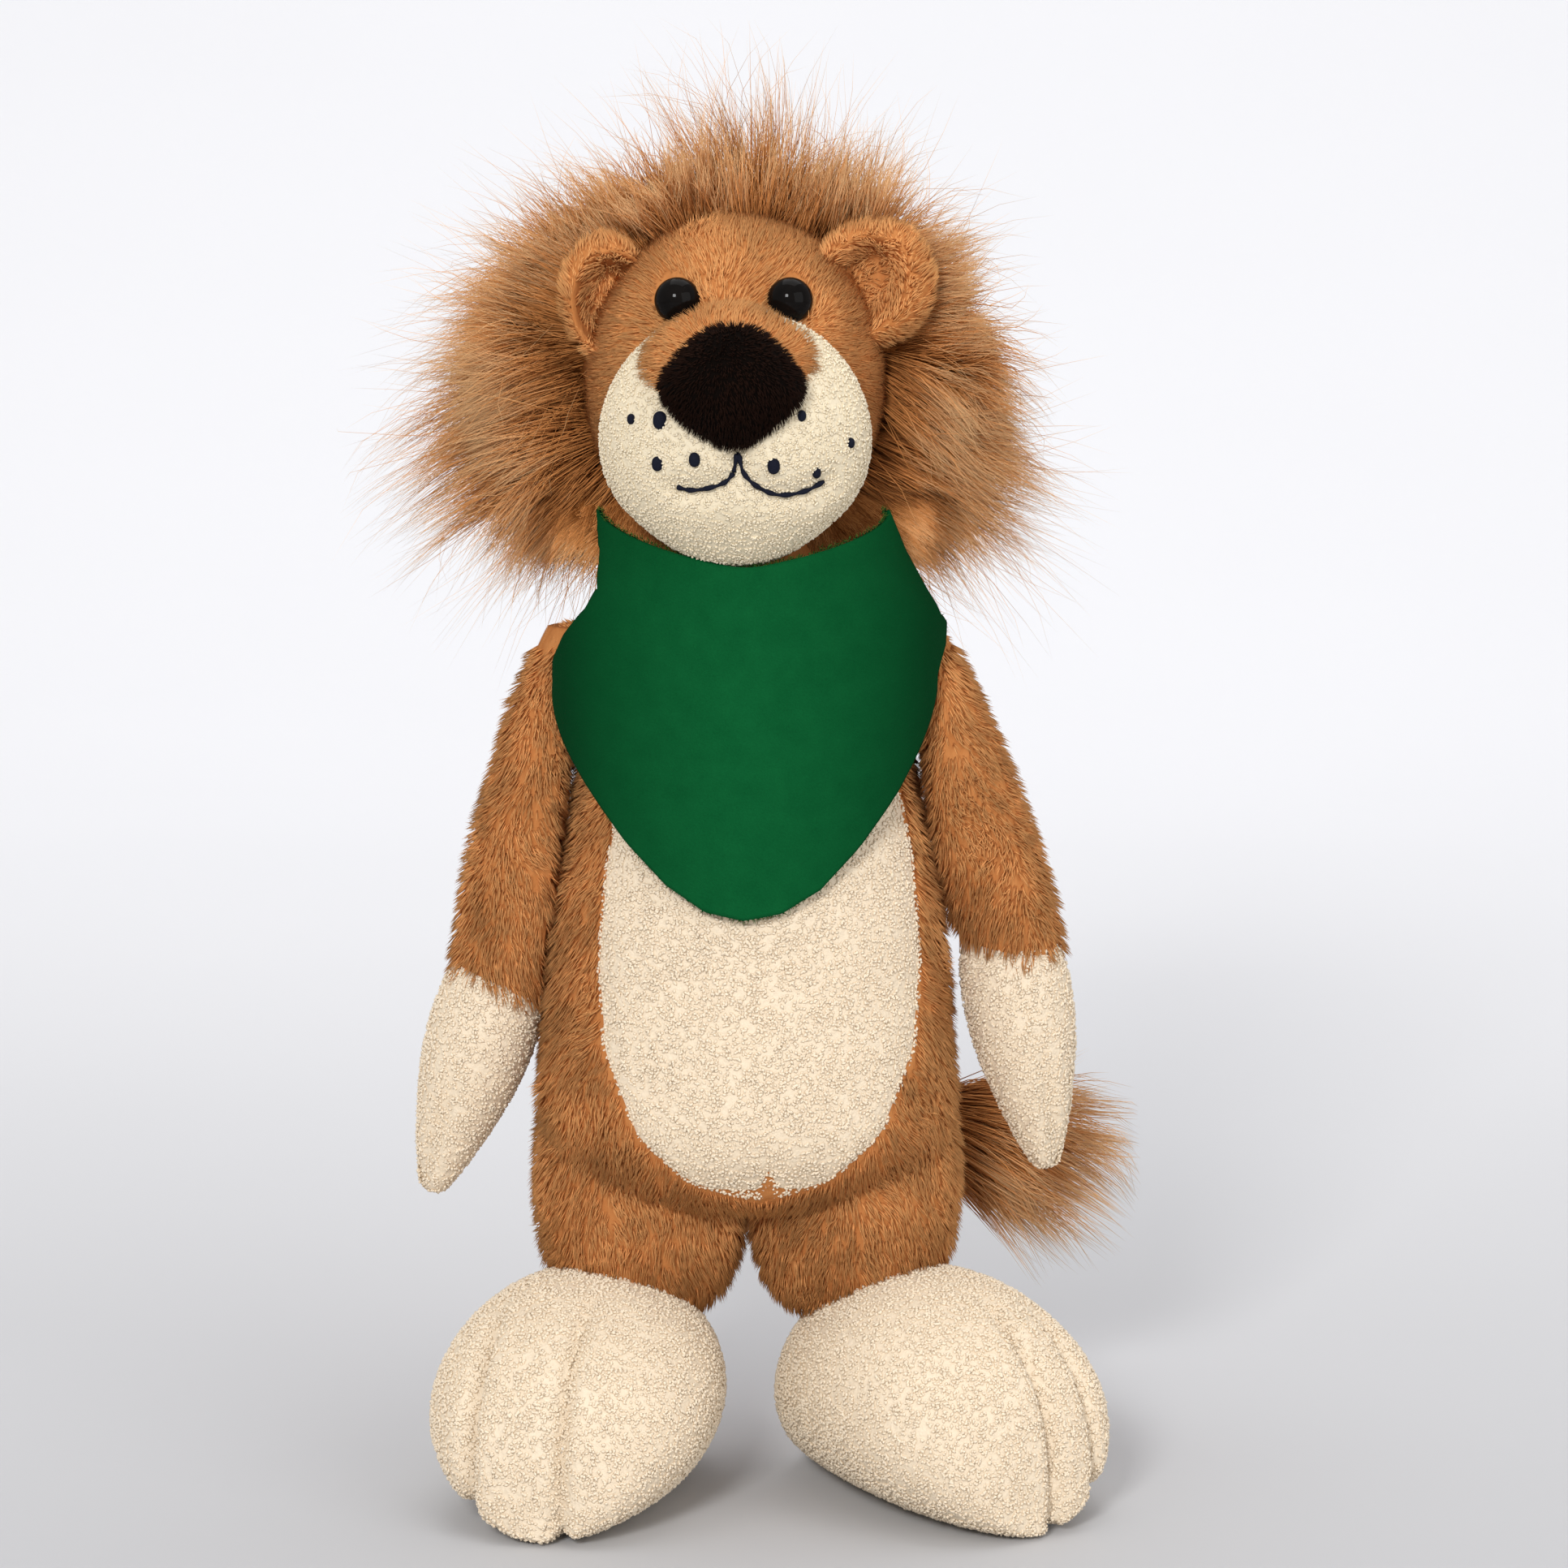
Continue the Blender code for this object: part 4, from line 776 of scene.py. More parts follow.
class LION_OT_torso(Operator):
    """Pear-shaped body in brown plush"""
    bl_idname = "lion.torso"
    bl_label = "Torso"

    def execute(self, context):
        body = TORSO.surface(112, 96)
        dressed("torso_plush", body, "brown_backing", "torso", ["torso_skin"])
        brown_fur("torso_pile", body, downwards, "torso", 11,
                  lambda p: (1.0 - on_panel(p)) * (p[:, 2] < 200 * MM) * (p[:, 2] > 67 * MM))
        return {"FINISHED"}


class LION_OT_belly(Operator):
    """Cream looped panel let into the front of the torso"""
    bl_idname = "lion.belly"
    bl_label = "Belly panel"

    def execute(self, context):
        across = np.sin(np.linspace(-1.0, 1.0, 61) * math.pi / 2.0)
        up = np.linspace(0.004, 1.0, 76)
        z = 70 * MM + 94 * MM * up[:, None] + 0.0 * across
        x = 3 * MM + panel_half(z) * across
        rim = np.sqrt(np.clip(1.0 - across ** 2, 0.0, 1.0)) * np.ones_like(z)
        rim = np.minimum(rim * 2.0, 1.0) * np.minimum(up[:, None] * 9.0, 1.0)
        y = TORSO.front(x, z) - 1.8 * MM * rim + 0.6 * MM
        seam = np.exp(-((x - 5 * MM) / (1.3 * MM)) ** 2) * np.clip((132 * MM - z) / (50 * MM),
                                                                   0.0, 1.0)
        y += seam * (0.5 + 0.9 * np.clip((84 * MM - z) / (14 * MM), 0.0, 1.0)) * MM
        panel = Surface.solid_sheet(np.stack((x, y, z), -1), 3.0 * MM)
        dressed("belly_cloth", panel, "cream_backing", "torso", ["belly_panel"])
        cream_grains("belly_loops", panel, "torso", 21,
                     lambda p: (p[:, 1] < TORSO.front(p[:, 0], p[:, 2]) + 1.0 * MM) * 1.0)
        return {"FINISHED"}


class LION_OT_head(Operator):
    """Head in brown plush, with the brown bridge above the nose"""
    bl_idname = "lion.head"
    bl_label = "Head"

    def execute(self, context):
        head = HEAD.surface(96, 72)
        for x in EYES_X:
            eye = np.array((x, -36.0, EYES_Z)) * MM
            push = dent(np.linalg.norm(head.points - eye, axis=1), 9 * MM, 2.0 * MM)
            head.points[:, 1] += push
        dressed("head_plush", head, "brown_backing", "head", ["head_skin"])
        start = np.array((-2.5, -52.0, 258.0)) * MM
        muzzle = np.array((-2.5, -27.0, 235.0)) * MM

        def flow(points):
            return (points - start) * (1.0, 0.6, 1.0)

        def bare(points):
            eyes = np.ones(len(points))
            for x in EYES_X:
                away = np.hypot(points[:, 0] - x * MM, points[:, 2] - EYES_Z * MM)
                eyes *= (away > 4.6 * MM) | (points[:, 1] > -10 * MM)
            inside = (((points - muzzle) / (np.array((29.5, 24.0, 25.0)) * MM)) ** 2).sum(1)
            return eyes * (inside > 0.9) * (points[:, 1] < 12 * MM)

        short = {"dense": 1.5, "width": 0.38, "lift": 0.4, "lock": 3.0}
        brown_fur("head_pile", head, flow, "head", 31, bare, long=0.85, **short)
        bridge = BRIDGE.surface(48, 32)
        dressed("bridge_plush", bridge, "brown_backing", "head",
                ["nose_bridge"])
        brown_fur("bridge_pile", bridge, flow, "head", 32,
                  lambda p: (p[:, 1] < -28 * MM) * 1.0, long=0.8, **short)
        return {"FINISHED"}


MOUTH = ((-14.5, 230.6), (-11.0, 230.0), (-5.5, 231.2), (-2.6, 233.6), (-1.5, 238.0),
         (-0.2, 233.8), (3.1, 230.6), (7.6, 228.9), (13.0, 229.6), (17.0, 231.6))
DOTS = ((-24.4, 245.0, 0.72), (-18.1, 245.0, 1.25), (-18.7, 235.7, 1.0), (-10.7, 236.8, 1.0),
        (12.2, 246.0, 0.78), (6.2, 235.4, 1.1), (15.4, 233.6, 0.78), (22.8, 239.7, 0.7))


def muzzle_push(x, z):
    """How far the mouth's stitches draw the muzzle in: a valley along the mouth line and one
    under the nose."""
    line = smooth_path([(a * MM, 0.0, b * MM) for a, b in MOUTH], 60)
    gap = np.full(np.shape(x), 1.0)
    for point in line:
        gap = np.minimum(gap, np.hypot(x - point[0], z - point[2]))
    push = dent(gap, 3.2 * MM, 2.2 * MM)
    under = np.clip((z - 232 * MM) / (4 * MM), 0.0, 1.0)
    return push + dent(x + 1.5 * MM, 2.0 * MM, 1.6 * MM) * under


def muzzle_front(x, z):
    return MUZZLE.front(x, z) + muzzle_push(x, z)


class LION_OT_muzzle(Operator):
    """Pale fleece muzzle, its mouth line drawn in by the stitches"""
    bl_idname = "lion.muzzle"
    bl_label = "Muzzle"

    def execute(self, context):
        cloth = context.scene.lion_cloth
        muzzle = MUZZLE.surface(112, 88)
        front = muzzle.points[:, 1] < -27 * MM
        push = muzzle_push(muzzle.points[:, 0], muzzle.points[:, 2])
        muzzle.points[:, 1] += push * front
        dressed("muzzle_fleece", muzzle, "fleece_backing", "head", ["muzzle"])
        grains = loops("muzzle_loops", muzzle, cloth.loop_count * 1.2, cloth.loop * 0.8,
                       Cloths.get("fleece_loops"), "head", 41,
                       lambda p: (p[:, 1] < -16 * MM) * 1.0)
        return {"FINISHED"}


class LION_OT_nose(Operator):
    """Big dark velvet nose"""
    bl_idname = "lion.nose"
    bl_label = "Nose"

    def execute(self, context):
        nose = NOSE.surface(56, 44)
        centre = dent(nose.points[:, 0] + 2.0 * MM, 1.6 * MM, 1.0 * MM)
        low = np.clip((254 * MM - nose.points[:, 2]) / (8 * MM), 0.0, 1.0)
        nose.points[:, 1] += centre * low
        dressed("nose_velvet_form", nose, "nose_backing", "head", ["nose"])
        fur = pile("nose_pile", nose, 420, 2.0 * MM, downwards, Cloths.get("nose_velvet"),
                   "head", 51, lambda p: (p[:, 1] < -42 * MM) * 1.0, 0.34, 0.9, 2.0)
        return {"FINISHED"}


class LION_OT_eyes(Operator):
    """Glossy domed eyes, with the CAD washers behind them"""
    bl_idname = "lion.eyes"
    bl_label = "Eyes"

    def execute(self, context):
        for name, _ in SIDES:
            low, high = (np.array(corner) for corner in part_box(name + "_eye"))
            middle = (low + high) / 2.0
            radius = (high[2] - low[2]) / 2.0
            dome = Form(radius * 2.0 / MM, radius * 2.0 / MM, radius * 1.7 / MM, (1.0, 1.0),
                        base=(middle[0] / MM, (low[1] + radius * 0.95) / MM,
                              (middle[2] - radius) / MM)).surface(48, 32)
            dressed(name + "_eye_dome", dome, "eye", "head", [name + "_eye"])
        return {"FINISHED"}


class LION_OT_stitches(Operator):
    """Mouth line and whisker dots in dark thread"""
    bl_idname = "lion.stitches"
    bl_label = "Mouth and dots"

    def execute(self, context):
        line = smooth_path([(x * MM, 0.0, z * MM) for x, z in MOUTH], 90)
        line[:, 1] = muzzle_front(line[:, 0], line[:, 2]) - 0.75 * MM
        uneven = 0.48 * MM * (1.0 + 0.3 * np.sin(np.arange(90) * 0.9))
        dressed("mouth_thread", tube(line, uneven), "thread", "head",
                ["mouth_embroidery"])
        for index, (x, z, size) in enumerate(DOTS):
            y = float(muzzle_front(np.array((x * MM,)), np.array((z * MM,)))[0]) / MM
            dot = Form(3.2 * size, 2.7 * size, 2.2, (1.0, 0.9, 1.0),
                       base=(x, y - 0.3, z - 1.6 * size)).surface(20, 12)
            dressed(f"whisker_stitch_{index + 1}", dot, "thread", "head",
                    [f"whisker_dot_{index + 1}"])
        return {"FINISHED"}


class LION_OT_ears(Operator):
    """Two cupped ears in fluffy brown plush"""
    bl_idname = "lion.ears"
    bl_label = "Ears"

    def execute(self, context):
        for name, side, rise, lean in (("right", -1.0, 19.5, 8.0), ("left", 1.0, 22.5, -36.0)):
            centre = np.array((-2.5 + side * (29.5 + 1.5 * side), -10.0, 251.0 + rise))
            turn = turned(tilt=-math.radians(lean))
            form = Form(27, 22 + 3 * side, 14, (1.0, 1.05, 1.0), (1.0, 1.0),
                        base=centre - turn @ np.array((0.0, 0.0, 14.5)), turn=turn)
            ear = form.surface(56, 40)
            local = (ear.points - centre * MM) @ turn
            reach = np.hypot((local[:, 0] + side * 1.5 * MM) / (10.5 * MM),
                             (local[:, 2] + 2.5 * MM) / (13.0 * MM))
            cup = np.clip(1.15 - (reach / 0.85) ** 3, 0.0, 1.0)
            ear.points += np.outer(cup * 10.5 * MM * (local[:, 1] < 0), turn[:, 1])
            dressed(name + "_ear_plush", ear, "brown_backing", "head",
                    [name + "_ear", name + "_ear_lining"])
            foot = (centre - turn @ np.array((0.0, 0.0, 14.0))) * MM
            brown_fur(name + "_ear_pile", ear, lambda p: p - foot, "head", 61 + int(side),
                      dense=1.6, long=0.7, width=0.42)
        return {"FINISHED"}


MANE_CENTRE = np.array((-2.5, 0.0, 250.0)) * MM
DENSE = ((-180, 66), (-150, 67), (-125, 50), (-100, 40), (-80, 40), (-55, 50), (-30, 66),
         (0, 64), (25, 62), (55, 55), (90, 50), (130, 55), (155, 66), (180, 66))
FAR = ((-180, 86), (-150, 90), (-125, 82), (-100, 60), (-80, 60), (-55, 78), (-30, 88),
       (0, 82), (25, 84), (55, 80), (90, 80), (120, 72), (150, 80), (180, 86))


def bent(roots, length, start_way, end_way):
    """Five points on each long hair: it leaves along one way and turns to the other, the
    part of the second growing with the square of the place along it."""
    t = np.linspace(0.0, 1.0, 5)[None, :, None]
    paths = roots[:, None] + length[:, None] * (start_way[:, None] * (t - t ** 2 / 2.0)
                                                + end_way[:, None] * t ** 2 / 2.0)
    return t, paths


def long_backing(name, values):
    return cloth_paint(name, tuple(c * 0.6 for c in values.root), values.root, 500.0, 0.002)


def spot(x, y, z):
    """A place given in millimetres."""
    return np.array((x, y, z)) * MM


class LION_OT_mane(Operator):
    """Long wild mane, sown as locks of hair round the head"""
    bl_idname = "lion.mane"
    bl_label = "Mane"

    def execute(self, context):
        values = context.scene.lion_mane
        base = MANE.surface(96, 72)
        base.points[:, 1] = np.maximum(base.points[:, 1], -3 * MM)
        base.points[:, 2] = np.maximum(base.points[:, 2], 212 * MM)
        obj = skin("mane_body", base, long_backing("mane_backing", values), "head")
        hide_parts("mane")

        def keep(points):
            away = np.hypot(points[:, 0] - MANE_CENTRE[0], points[:, 2] - MANE_CENTRE[2])
            face = points[:, 1] < -1 * MM
            clear = (away > 27 * MM) | ~face
            hem = points[:, 2] > 213 * MM
            return clear * hem * np.where(face, 2.6, 1.0)

        roots, normal, rng = base.sow(1.0, 71, keep)
        density = values.hairs / max(len(roots), 1)
        roots, normal, rng = base.sow(density, 72, keep)
        count = len(roots)
        out = (roots - MANE_CENTRE) * (1.0, 0.0, 1.0)
        distance = np.linalg.norm(out, axis=1, keepdims=True)
        out = out / (distance + 1e-9)
        angle = np.degrees(np.arctan2(out[:, 2], out[:, 0]))
        front = np.clip(1.0 - (roots[:, 1] + 3 * MM) / (30 * MM), 0.0, 1.0)[:, None]
        tufts, tuft = nearest_of(roots, values.locks // 12, rng)
        locks, lock = nearest_of(roots, values.locks, rng)
        own = rng.random(count)
        reach = (0.26 * rng.random(len(tufts))[tuft] + 0.30 * rng.random(len(locks))[lock]
                 + 0.44 * own)
        dense = np.interp(angle, *zip(*DENSE)) * MM
        far = np.interp(angle, *zip(*FAR)) * MM
        wisp = np.clip((reach - 0.22) / 0.62, 0.0, 1.2) ** 2.0
        target = dense * (0.74 + 0.22 * rng.random(count)) + (far - dense * 0.82) * wisp
        most = 62 * front + (22 + 24 * reach[:, None]) * (1.0 - front)
        length = np.clip(target[:, None] - distance, 8 * MM, most * MM)
        hang = np.array((0.0, 0.0, -1.0))
        low = np.clip((MANE_CENTRE[2] + 14 * MM - roots[:, 2]) / (44 * MM), 0.0, 1.0)[:, None]
        stray = rng.normal(size=(count, 3)) * np.where(own > 0.9, 0.3, 0.09)[:, None]
        start_way = unit(out * (0.8 + 0.4 * front) + normal * 0.45
                         + 0.20 * rng.normal(size=(len(tufts), 3))[tuft]
                         + 0.12 * rng.normal(size=(len(locks), 3))[lock] + stray)
        end_way = unit(start_way + out * 0.3 * front
                       + hang * (0.12 + 0.62 * low) * (1.0 - 0.1 * front)
                       + hang * 0.8 * (1.0 - front)
                       + 0.26 * rng.normal(size=(len(tufts), 3))[tuft] + stray)
        t, paths = bent(roots, length, start_way, end_way)
        loose = np.where(own > 0.9, 0.1, 1.0)[:, None, None]
        paths = paths + (paths[tufts][tuft] - paths) * 0.26 * loose * t ** 2
        paths = paths + (paths[locks][lock] - paths) * 0.38 * loose * t ** 1.5
        curl = rng.normal(size=(count, 1, 3)) * np.where(own > 0.9, 2.6, 1.0)[:, None, None]
        paths = paths + curl * MM * np.sin(t * math.pi * 1.4) * t
        for side, rise in ((-1.0, 17.5), (1.0, 21.5)):
            ear = np.array((-2.5 + side * 31.0, 0.0, 251.0 + rise)) * MM
            near = np.hypot(paths[..., 0] - ear[0], paths[..., 2] - ear[2]) < 19 * MM
            deep = np.maximum(paths[..., 1], -4 * MM + 2 * MM * rng.random((count, 1)))
            paths[..., 1] = np.where(near, deep, paths[..., 1])
        over = np.clip((56 * MM - np.abs(paths[..., 0])) / (9 * MM), 0.0, 1.0) * (
            paths[..., 2] < 227 * MM)
        paths[..., 1] = np.maximum(paths[..., 1], -60 * MM * (1.0 - over) - 3 * MM)
        paths = np.clip(paths, spot(-91.0, -72.0, 178.0), spot(92.5, 74.0, 331.0))
        shade = (0.5 + 0.2 * rng.normal(size=count)
                 + 0.3 * (rng.random(len(locks))[lock] - 0.5)
                 + 0.12 * waves(roots, 30 * MM, 73))
        thin = (0.95 - 0.45 * np.clip(wisp, 0.0, 1.0)) * values.hair / 2.0
        coat = hair_paint("mane_hair", values.root, values.tip, 0.6, values.middle, 0.55)
        order = np.argsort(angle)
        for part in range(4):
            mine = order[part * count // 4:(part + 1) * count // 4]
            obj = hairs(f"mane_locks_{part + 1}", paths[mine], thin[mine], shade[mine], coat,
                        "head", 0.75)
        return {"FINISHED"}


def bandana_sheet(columns, rows):
    """The draped felt: across runs from edge to edge, down from collar to hem. The collar
    rises to its two corners as a power of across, the hem follows a table, and the cloth
    lies proud of the chest with soft lengthwise folds."""
    across = np.linspace(-1.0, 1.0, columns)[None]
    down = np.linspace(0.0, 1.0, rows)[:, None]
    size = np.abs(across)
    table = np.linspace(-1.0, 1.0, 13)
    hem_x = np.interp(across, table, (-41.8, -36.5, -30.5, -23.5, -16.0, -8.5, -0.5, 7.5,
                                      15.0, 22.0, 28.5, 34.5, 41.5))
    hem_z = np.interp(across, table, (182.0, 172.5, 162.5, 151.5, 142.5, 137.0, 135.2, 136.6,
                                      141.5, 150.5, 161.5, 173.5, 187.0))
    top_z = 212.0 + 11.0 * size ** 1.7
    z = top_z + (hem_z - top_z) * down
    left = np.interp(z, (182.0, 190.0, 196.0, 201.0, 206.0, 214.0, 223.0),
                     (41.8, 41.7, 39.0, 34.5, 31.3, 31.0, 32.0))
    right = np.interp(z, (187.0, 193.0, 198.0, 205.0, 213.0, 223.0),
                      (41.5, 43.2, 43.4, 39.0, 34.5, 30.5))
    straight = hem_x + (np.where(across < 0, -31.0, 31.0) * size - hem_x) * (1.0 - down)
    edge = np.where(across < 0, -left, right)
    x = straight + (edge - np.sign(across) * np.abs(straight)) * size ** 3
    depth = np.interp(z, (134.0, 150.0, 165.0, 185.0, 200.0, 212.0, 224.0),
                      (37.0, 37.0, 36.0, 33.0, 31.5, 31.0, 28.0))
    wide = np.interp(z, (134.0, 160.0, 185.0, 200.0, 212.0, 224.0),
                     (40.0, 44.0, 46.5, 46.5, 38.0, 36.0))
    bow = np.sqrt(np.clip(1.0 - (x / wide) ** 2, 0.02, 1.0))
    fold = 0.7 * np.cos(across * 8.0 + 0.6) * np.sin(down * math.pi * 0.9)
    y = -depth * bow - fold
    return np.stack((x, y, z), -1) * MM


class LION_OT_bandana(Operator):
    """Green felt bandana draped over the chest"""
    bl_idname = "lion.bandana"
    bl_label = "Bandana"

    def execute(self, context):
        cloth = context.scene.lion_cloth
        front = bandana_sheet(91, 81)
        a, b, c, d = front[:-1, :-1], front[:-1, 1:], front[1:, 1:], front[1:, :-1]
        area = 0.5 * (np.linalg.norm(np.cross(b - a, c - a), axis=-1).sum()
                      + np.linalg.norm(np.cross(c - a, d - a), axis=-1).sum())
        width = max(np.linalg.norm(np.diff(row, axis=0), axis=1).sum() for row in front)
        length = max(np.linalg.norm(np.diff(front[:, i], axis=0), axis=1).sum()
                     for i in range(front.shape[1]))
        sheet = Surface.solid_sheet(front, 1.4 * MM)
        obj = skin("bandana_cloth", sheet, Cloths.get("felt"), "torso")
        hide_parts("bandana")
        rim = np.concatenate((front[0], front[:, -1], front[-1], front[:, 0]))
        rng = np.random.default_rng(81)
        count = 2600
        drawn = rng.integers(0, len(rim), count)
        middle = np.array((0.0, 0.0, 178.0)) * MM
        roots = rim[drawn] + rng.normal(size=(count, 3)) * 0.3 * MM
        way = unit(unit((roots - middle) * (1.0, 0.0, 1.0)) + 0.8 * rng.normal(size=(count, 3)))
        tips = roots + way * (0.7 + 0.7 * rng.random((count, 1))) * MM
        edge = hair_paint("felt_edge_fibres", cloth.felt, cloth.felt_edge, 0.9, spread=0.5)
        fibres = hairs("bandana_edge", np.stack((roots, tips), 1), np.full(count, 0.12 * MM),
                       rng.random(count), edge, "torso")
        return {"FINISHED"}


def arm_forms(side):
    """The sleeve and the hand of one side, with the places that the frame gives them."""
    length, width, tilt, hand_tilt = ((80.0, 25.0, 13.0, 18.0) if side < 0
                                      else (74.0, 22.0, 19.0, 10.0))
    tilt, hand_tilt = math.radians(tilt), math.radians(hand_tilt)
    shoulder = np.array((side * 38.0, 0.0, 190.0))
    down = np.array((side * math.sin(tilt), 0.0, -math.cos(tilt)))
    sleeve = Form(length + 18.0, width, 25.0, (1.10, 1.08, 1.02, 0.94, 0.86),
                  (1.04, 1.02, 0.98, 0.92, 0.84), blunt=0.45,
                  base=shoulder + down * (length + 8.0), turn=turned(tilt=-side * tilt))
    wrist = shoulder + down * (length - 14.0)
    hand_down = np.array((side * math.sin(hand_tilt), 0.0, -math.cos(hand_tilt)))
    hand = Form(62, 25, 25, (0.46, 0.70, 0.92, 1.02, 1.0), (0.60, 0.80, 0.94, 1.0, 0.98),
                blunt=0.55, base=wrist + hand_down * 62.0, turn=turned(tilt=-side * hand_tilt))
    return sleeve, hand, 8.0 / (length + 18.0)


class LION_OT_arms(Operator):
    """Brown sleeves, open at the cuff, on gathered shoulders"""
    bl_idname = "lion.arms"
    bl_label = "Arms"

    def execute(self, context):
        for name, side in SIDES:
            sleeve, _, hem = arm_forms(side)
            surface = sleeve.surface(64, 64, start=hem, hem=1.0 * MM)
            inner = np.maximum(np.abs(surface.points[:, 0]), (38.5 - (
                surface.points[:, 2] / MM - 190.0) * math.tan(math.radians(6.0))) * MM)
            above = surface.points[:, 2] < 194 * MM
            surface.points[:, 0] = np.where(above, side * inner, surface.points[:, 0])
            surface.points[:, 2] = np.minimum(surface.points[:, 2], 196 * MM)
            dressed(name + "_sleeve", surface, "brown_backing", name + "_arm",
                    [name + "_arm_skin"])
            brown_fur(name + "_sleeve_pile", surface, downwards, name + "_arm", 91 + int(side),
                      lambda p: (p[:, 2] < 192 * MM) * 1.0)
            cap = Form(16, 15, 16, (1.0, 1.0), base=(side * 38.0, 0.0, 181.0)).surface(32, 20)
            dressed(name + "_shoulder_cap", cap, "brown_backing", name + "_shoulder",
                    [name + "_shoulder_gather"])
            brown_fur(name + "_shoulder_pile", cap, downwards, name + "_shoulder",
                      95 + int(side), long=0.6)
        return {"FINISHED"}


class LION_OT_hands(Operator):
    """Cream looped hands with a crease between their fingers"""
    bl_idname = "lion.hands"
    bl_label = "Hands"

    def execute(self, context):
        for name, side in SIDES:
            _, hand, _ = arm_forms(side)
            surface = hand.surface(56, 56)
            local = (surface.points - hand.base) @ hand.turn
            reach = np.clip((34 * MM - local[:, 2]) / (16 * MM), 0.0, 1.0)
            push = dent(local[:, 0] - side * 3.0 * MM, 2.0 * MM, 2.0 * MM) * reach
            surface.points += np.outer(-np.sign(local[:, 1]) * push, hand.turn[:, 1])
            dressed(name + "_hand_cloth", surface, "cream_backing", name + "_arm",
                    [name + "_hand"])
            cream_grains(name + "_hand_loops", surface, name + "_arm", 101 + int(side),
                         lambda p: (((p - hand.base) @ hand.turn)[:, 2] < 52 * MM) * 1.0)
        return {"FINISHED"}


class LION_OT_legs(Operator):
    """Short brown legs from the torso to the feet"""
    bl_idname = "lion.legs"
    bl_label = "Legs"

    def execute(self, context):
        for name, side in SIDES:
            leg = Form(62, 46.5, 45, (0.97, 1.0, 1.01, 0.96, 0.78), (0.96, 1.0, 1.0, 0.94, 0.76),
                       blunt=0.36, base=(side * 24.0, 0.0, 40.0)).surface(64, 48)
            obj = dressed(name + "_leg_plush", leg, "brown_backing", None,
                          [name + "_leg"])
            fur = brown_fur(name + "_leg_pile", leg, downwards, None, 111 + int(side),
                            lambda p: (p[:, 2] < 88 * MM) * 1.0)
            for piece in (obj, fur):
                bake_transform(piece)
        return {"FINISHED"}


class LION_OT_feet(Operator):
    """Big cream feet with stitched toes"""
    bl_idname = "lion.feet"
    bl_label = "Feet"

    def execute(self, context):
        for name, side, out, yaw, toes in (("right", -1.0, 12.0, -12.0, (-17.0, 4.5)),
                                           ("left", 1.0, 17.5, 33.0, (4.0, 17.0))):
            turn = turned(pitch=math.pi / 2.0, yaw=math.radians(yaw))
            middle = np.array((side * (24.0 + out), -17.0, 25.5))
            foot = Form(86, 62.5, 52, (0.80, 0.90, 1.0, 1.06, 1.04),
                        (0.96, 1.0, 1.0, 0.95, 0.92), blunt=0.6, level=0.9,
                        base=middle - turn @ np.array((0.0, 0.0, 43.0)), turn=turn)
            surface = foot.surface(112, 88)
            local = (surface.points - foot.base) @ turn
            toe = np.clip((local[:, 2] - 52 * MM) / (16 * MM), 0.0, 1.0)
            push = sum(dent(local[:, 0] - place * MM, 1.8 * MM, 3.6 * MM)
                       for place in toes) * toe
            centre = middle * MM
            inward = unit(centre - surface.points)
            surface.points += inward * push[:, None]
            surface.points[:, 2] = np.maximum(surface.points[:, 2], 0.4 * MM)
            dressed(name + "_foot_cloth", surface, "cream_backing", name + "_lower",
                    [name + "_foot_skin"])
            cream_grains(name + "_foot_loops", surface, name + "_lower", 121 + int(side),
                         lambda p: (p[:, 2] > 1.0 * MM) * 1.0)
        return {"FINISHED"}


class LION_OT_tail(Operator):
    """Tail with a long tuft at its end"""
    bl_idname = "lion.tail"
    bl_label = "Tail"

    def execute(self, context):
        values = context.scene.lion_mane
        route = smooth_path([(x * MM, y * MM, z * MM) for x, y, z in (
            (8.0, 33.0, 84.0), (9.0, 39.0, 83.5), (14.0, 42.5, 81.0), (24.0, 44.5, 77.5),
            (36.0, 45.0, 74.5), (46.0, 44.0, 72.0))], 40)
        tail = tube(route, 5.0 * MM, 24)
        dressed("tail_plush", tail, "brown_backing", "tail_body", ["tail"])
        brown_fur("tail_pile", tail, lambda p: np.tile((1.0, 0.0, -0.3), (len(p), 1)),
                  "tail_body", 131)
        bulb = Form(26, 16, 16, (0.9, 1.0, 0.9), base=(36.0, 43.5, 74.5),
                    turn=turned(tilt=math.radians(100.0))).surface(40, 28)
        core = skin("tuft_body", bulb, long_backing("tuft_backing", values), "tail_body")
        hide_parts("tail_tuft")
        roots, normal, rng = bulb.sow(250, 132)
        count = len(roots)
        locks = 60
        picked = rng.choice(count, locks, replace=False)
        nearest = ((roots[:, None] - roots[picked][None]) ** 2).sum(-1).argmin(1)
        way = np.array((1.0, -0.05, -0.28))
        begin = unit(way + normal * 0.42 + 0.14 * rng.normal(size=(count, 3)))
        end = unit(way + np.array((0.0, 0.0, -0.25)) + normal * 0.25
                   + 0.28 * rng.normal(size=(locks, 3))[nearest])
        size = (20 + 28 * rng.random((count, 1)) ** 1.6) * MM
        t, paths = bent(roots, size, begin, end)
        paths = paths + (paths[picked][nearest] - paths) * 0.5 * t ** 2
        paths = np.clip(paths, spot(-80.0, 12.0, 36.0), spot(92.5, 72.0, 104.0))
        coat = hair_paint("tuft_hair", values.root, values.tip, 0.6, values.middle, 0.5)
        obj = hairs("tuft_locks", paths, np.full(count, values.hair / 2.0),
                    0.5 + 0.22 * rng.normal(size=count), coat, "tail_body", 0.75)
        return {"FINISHED"}


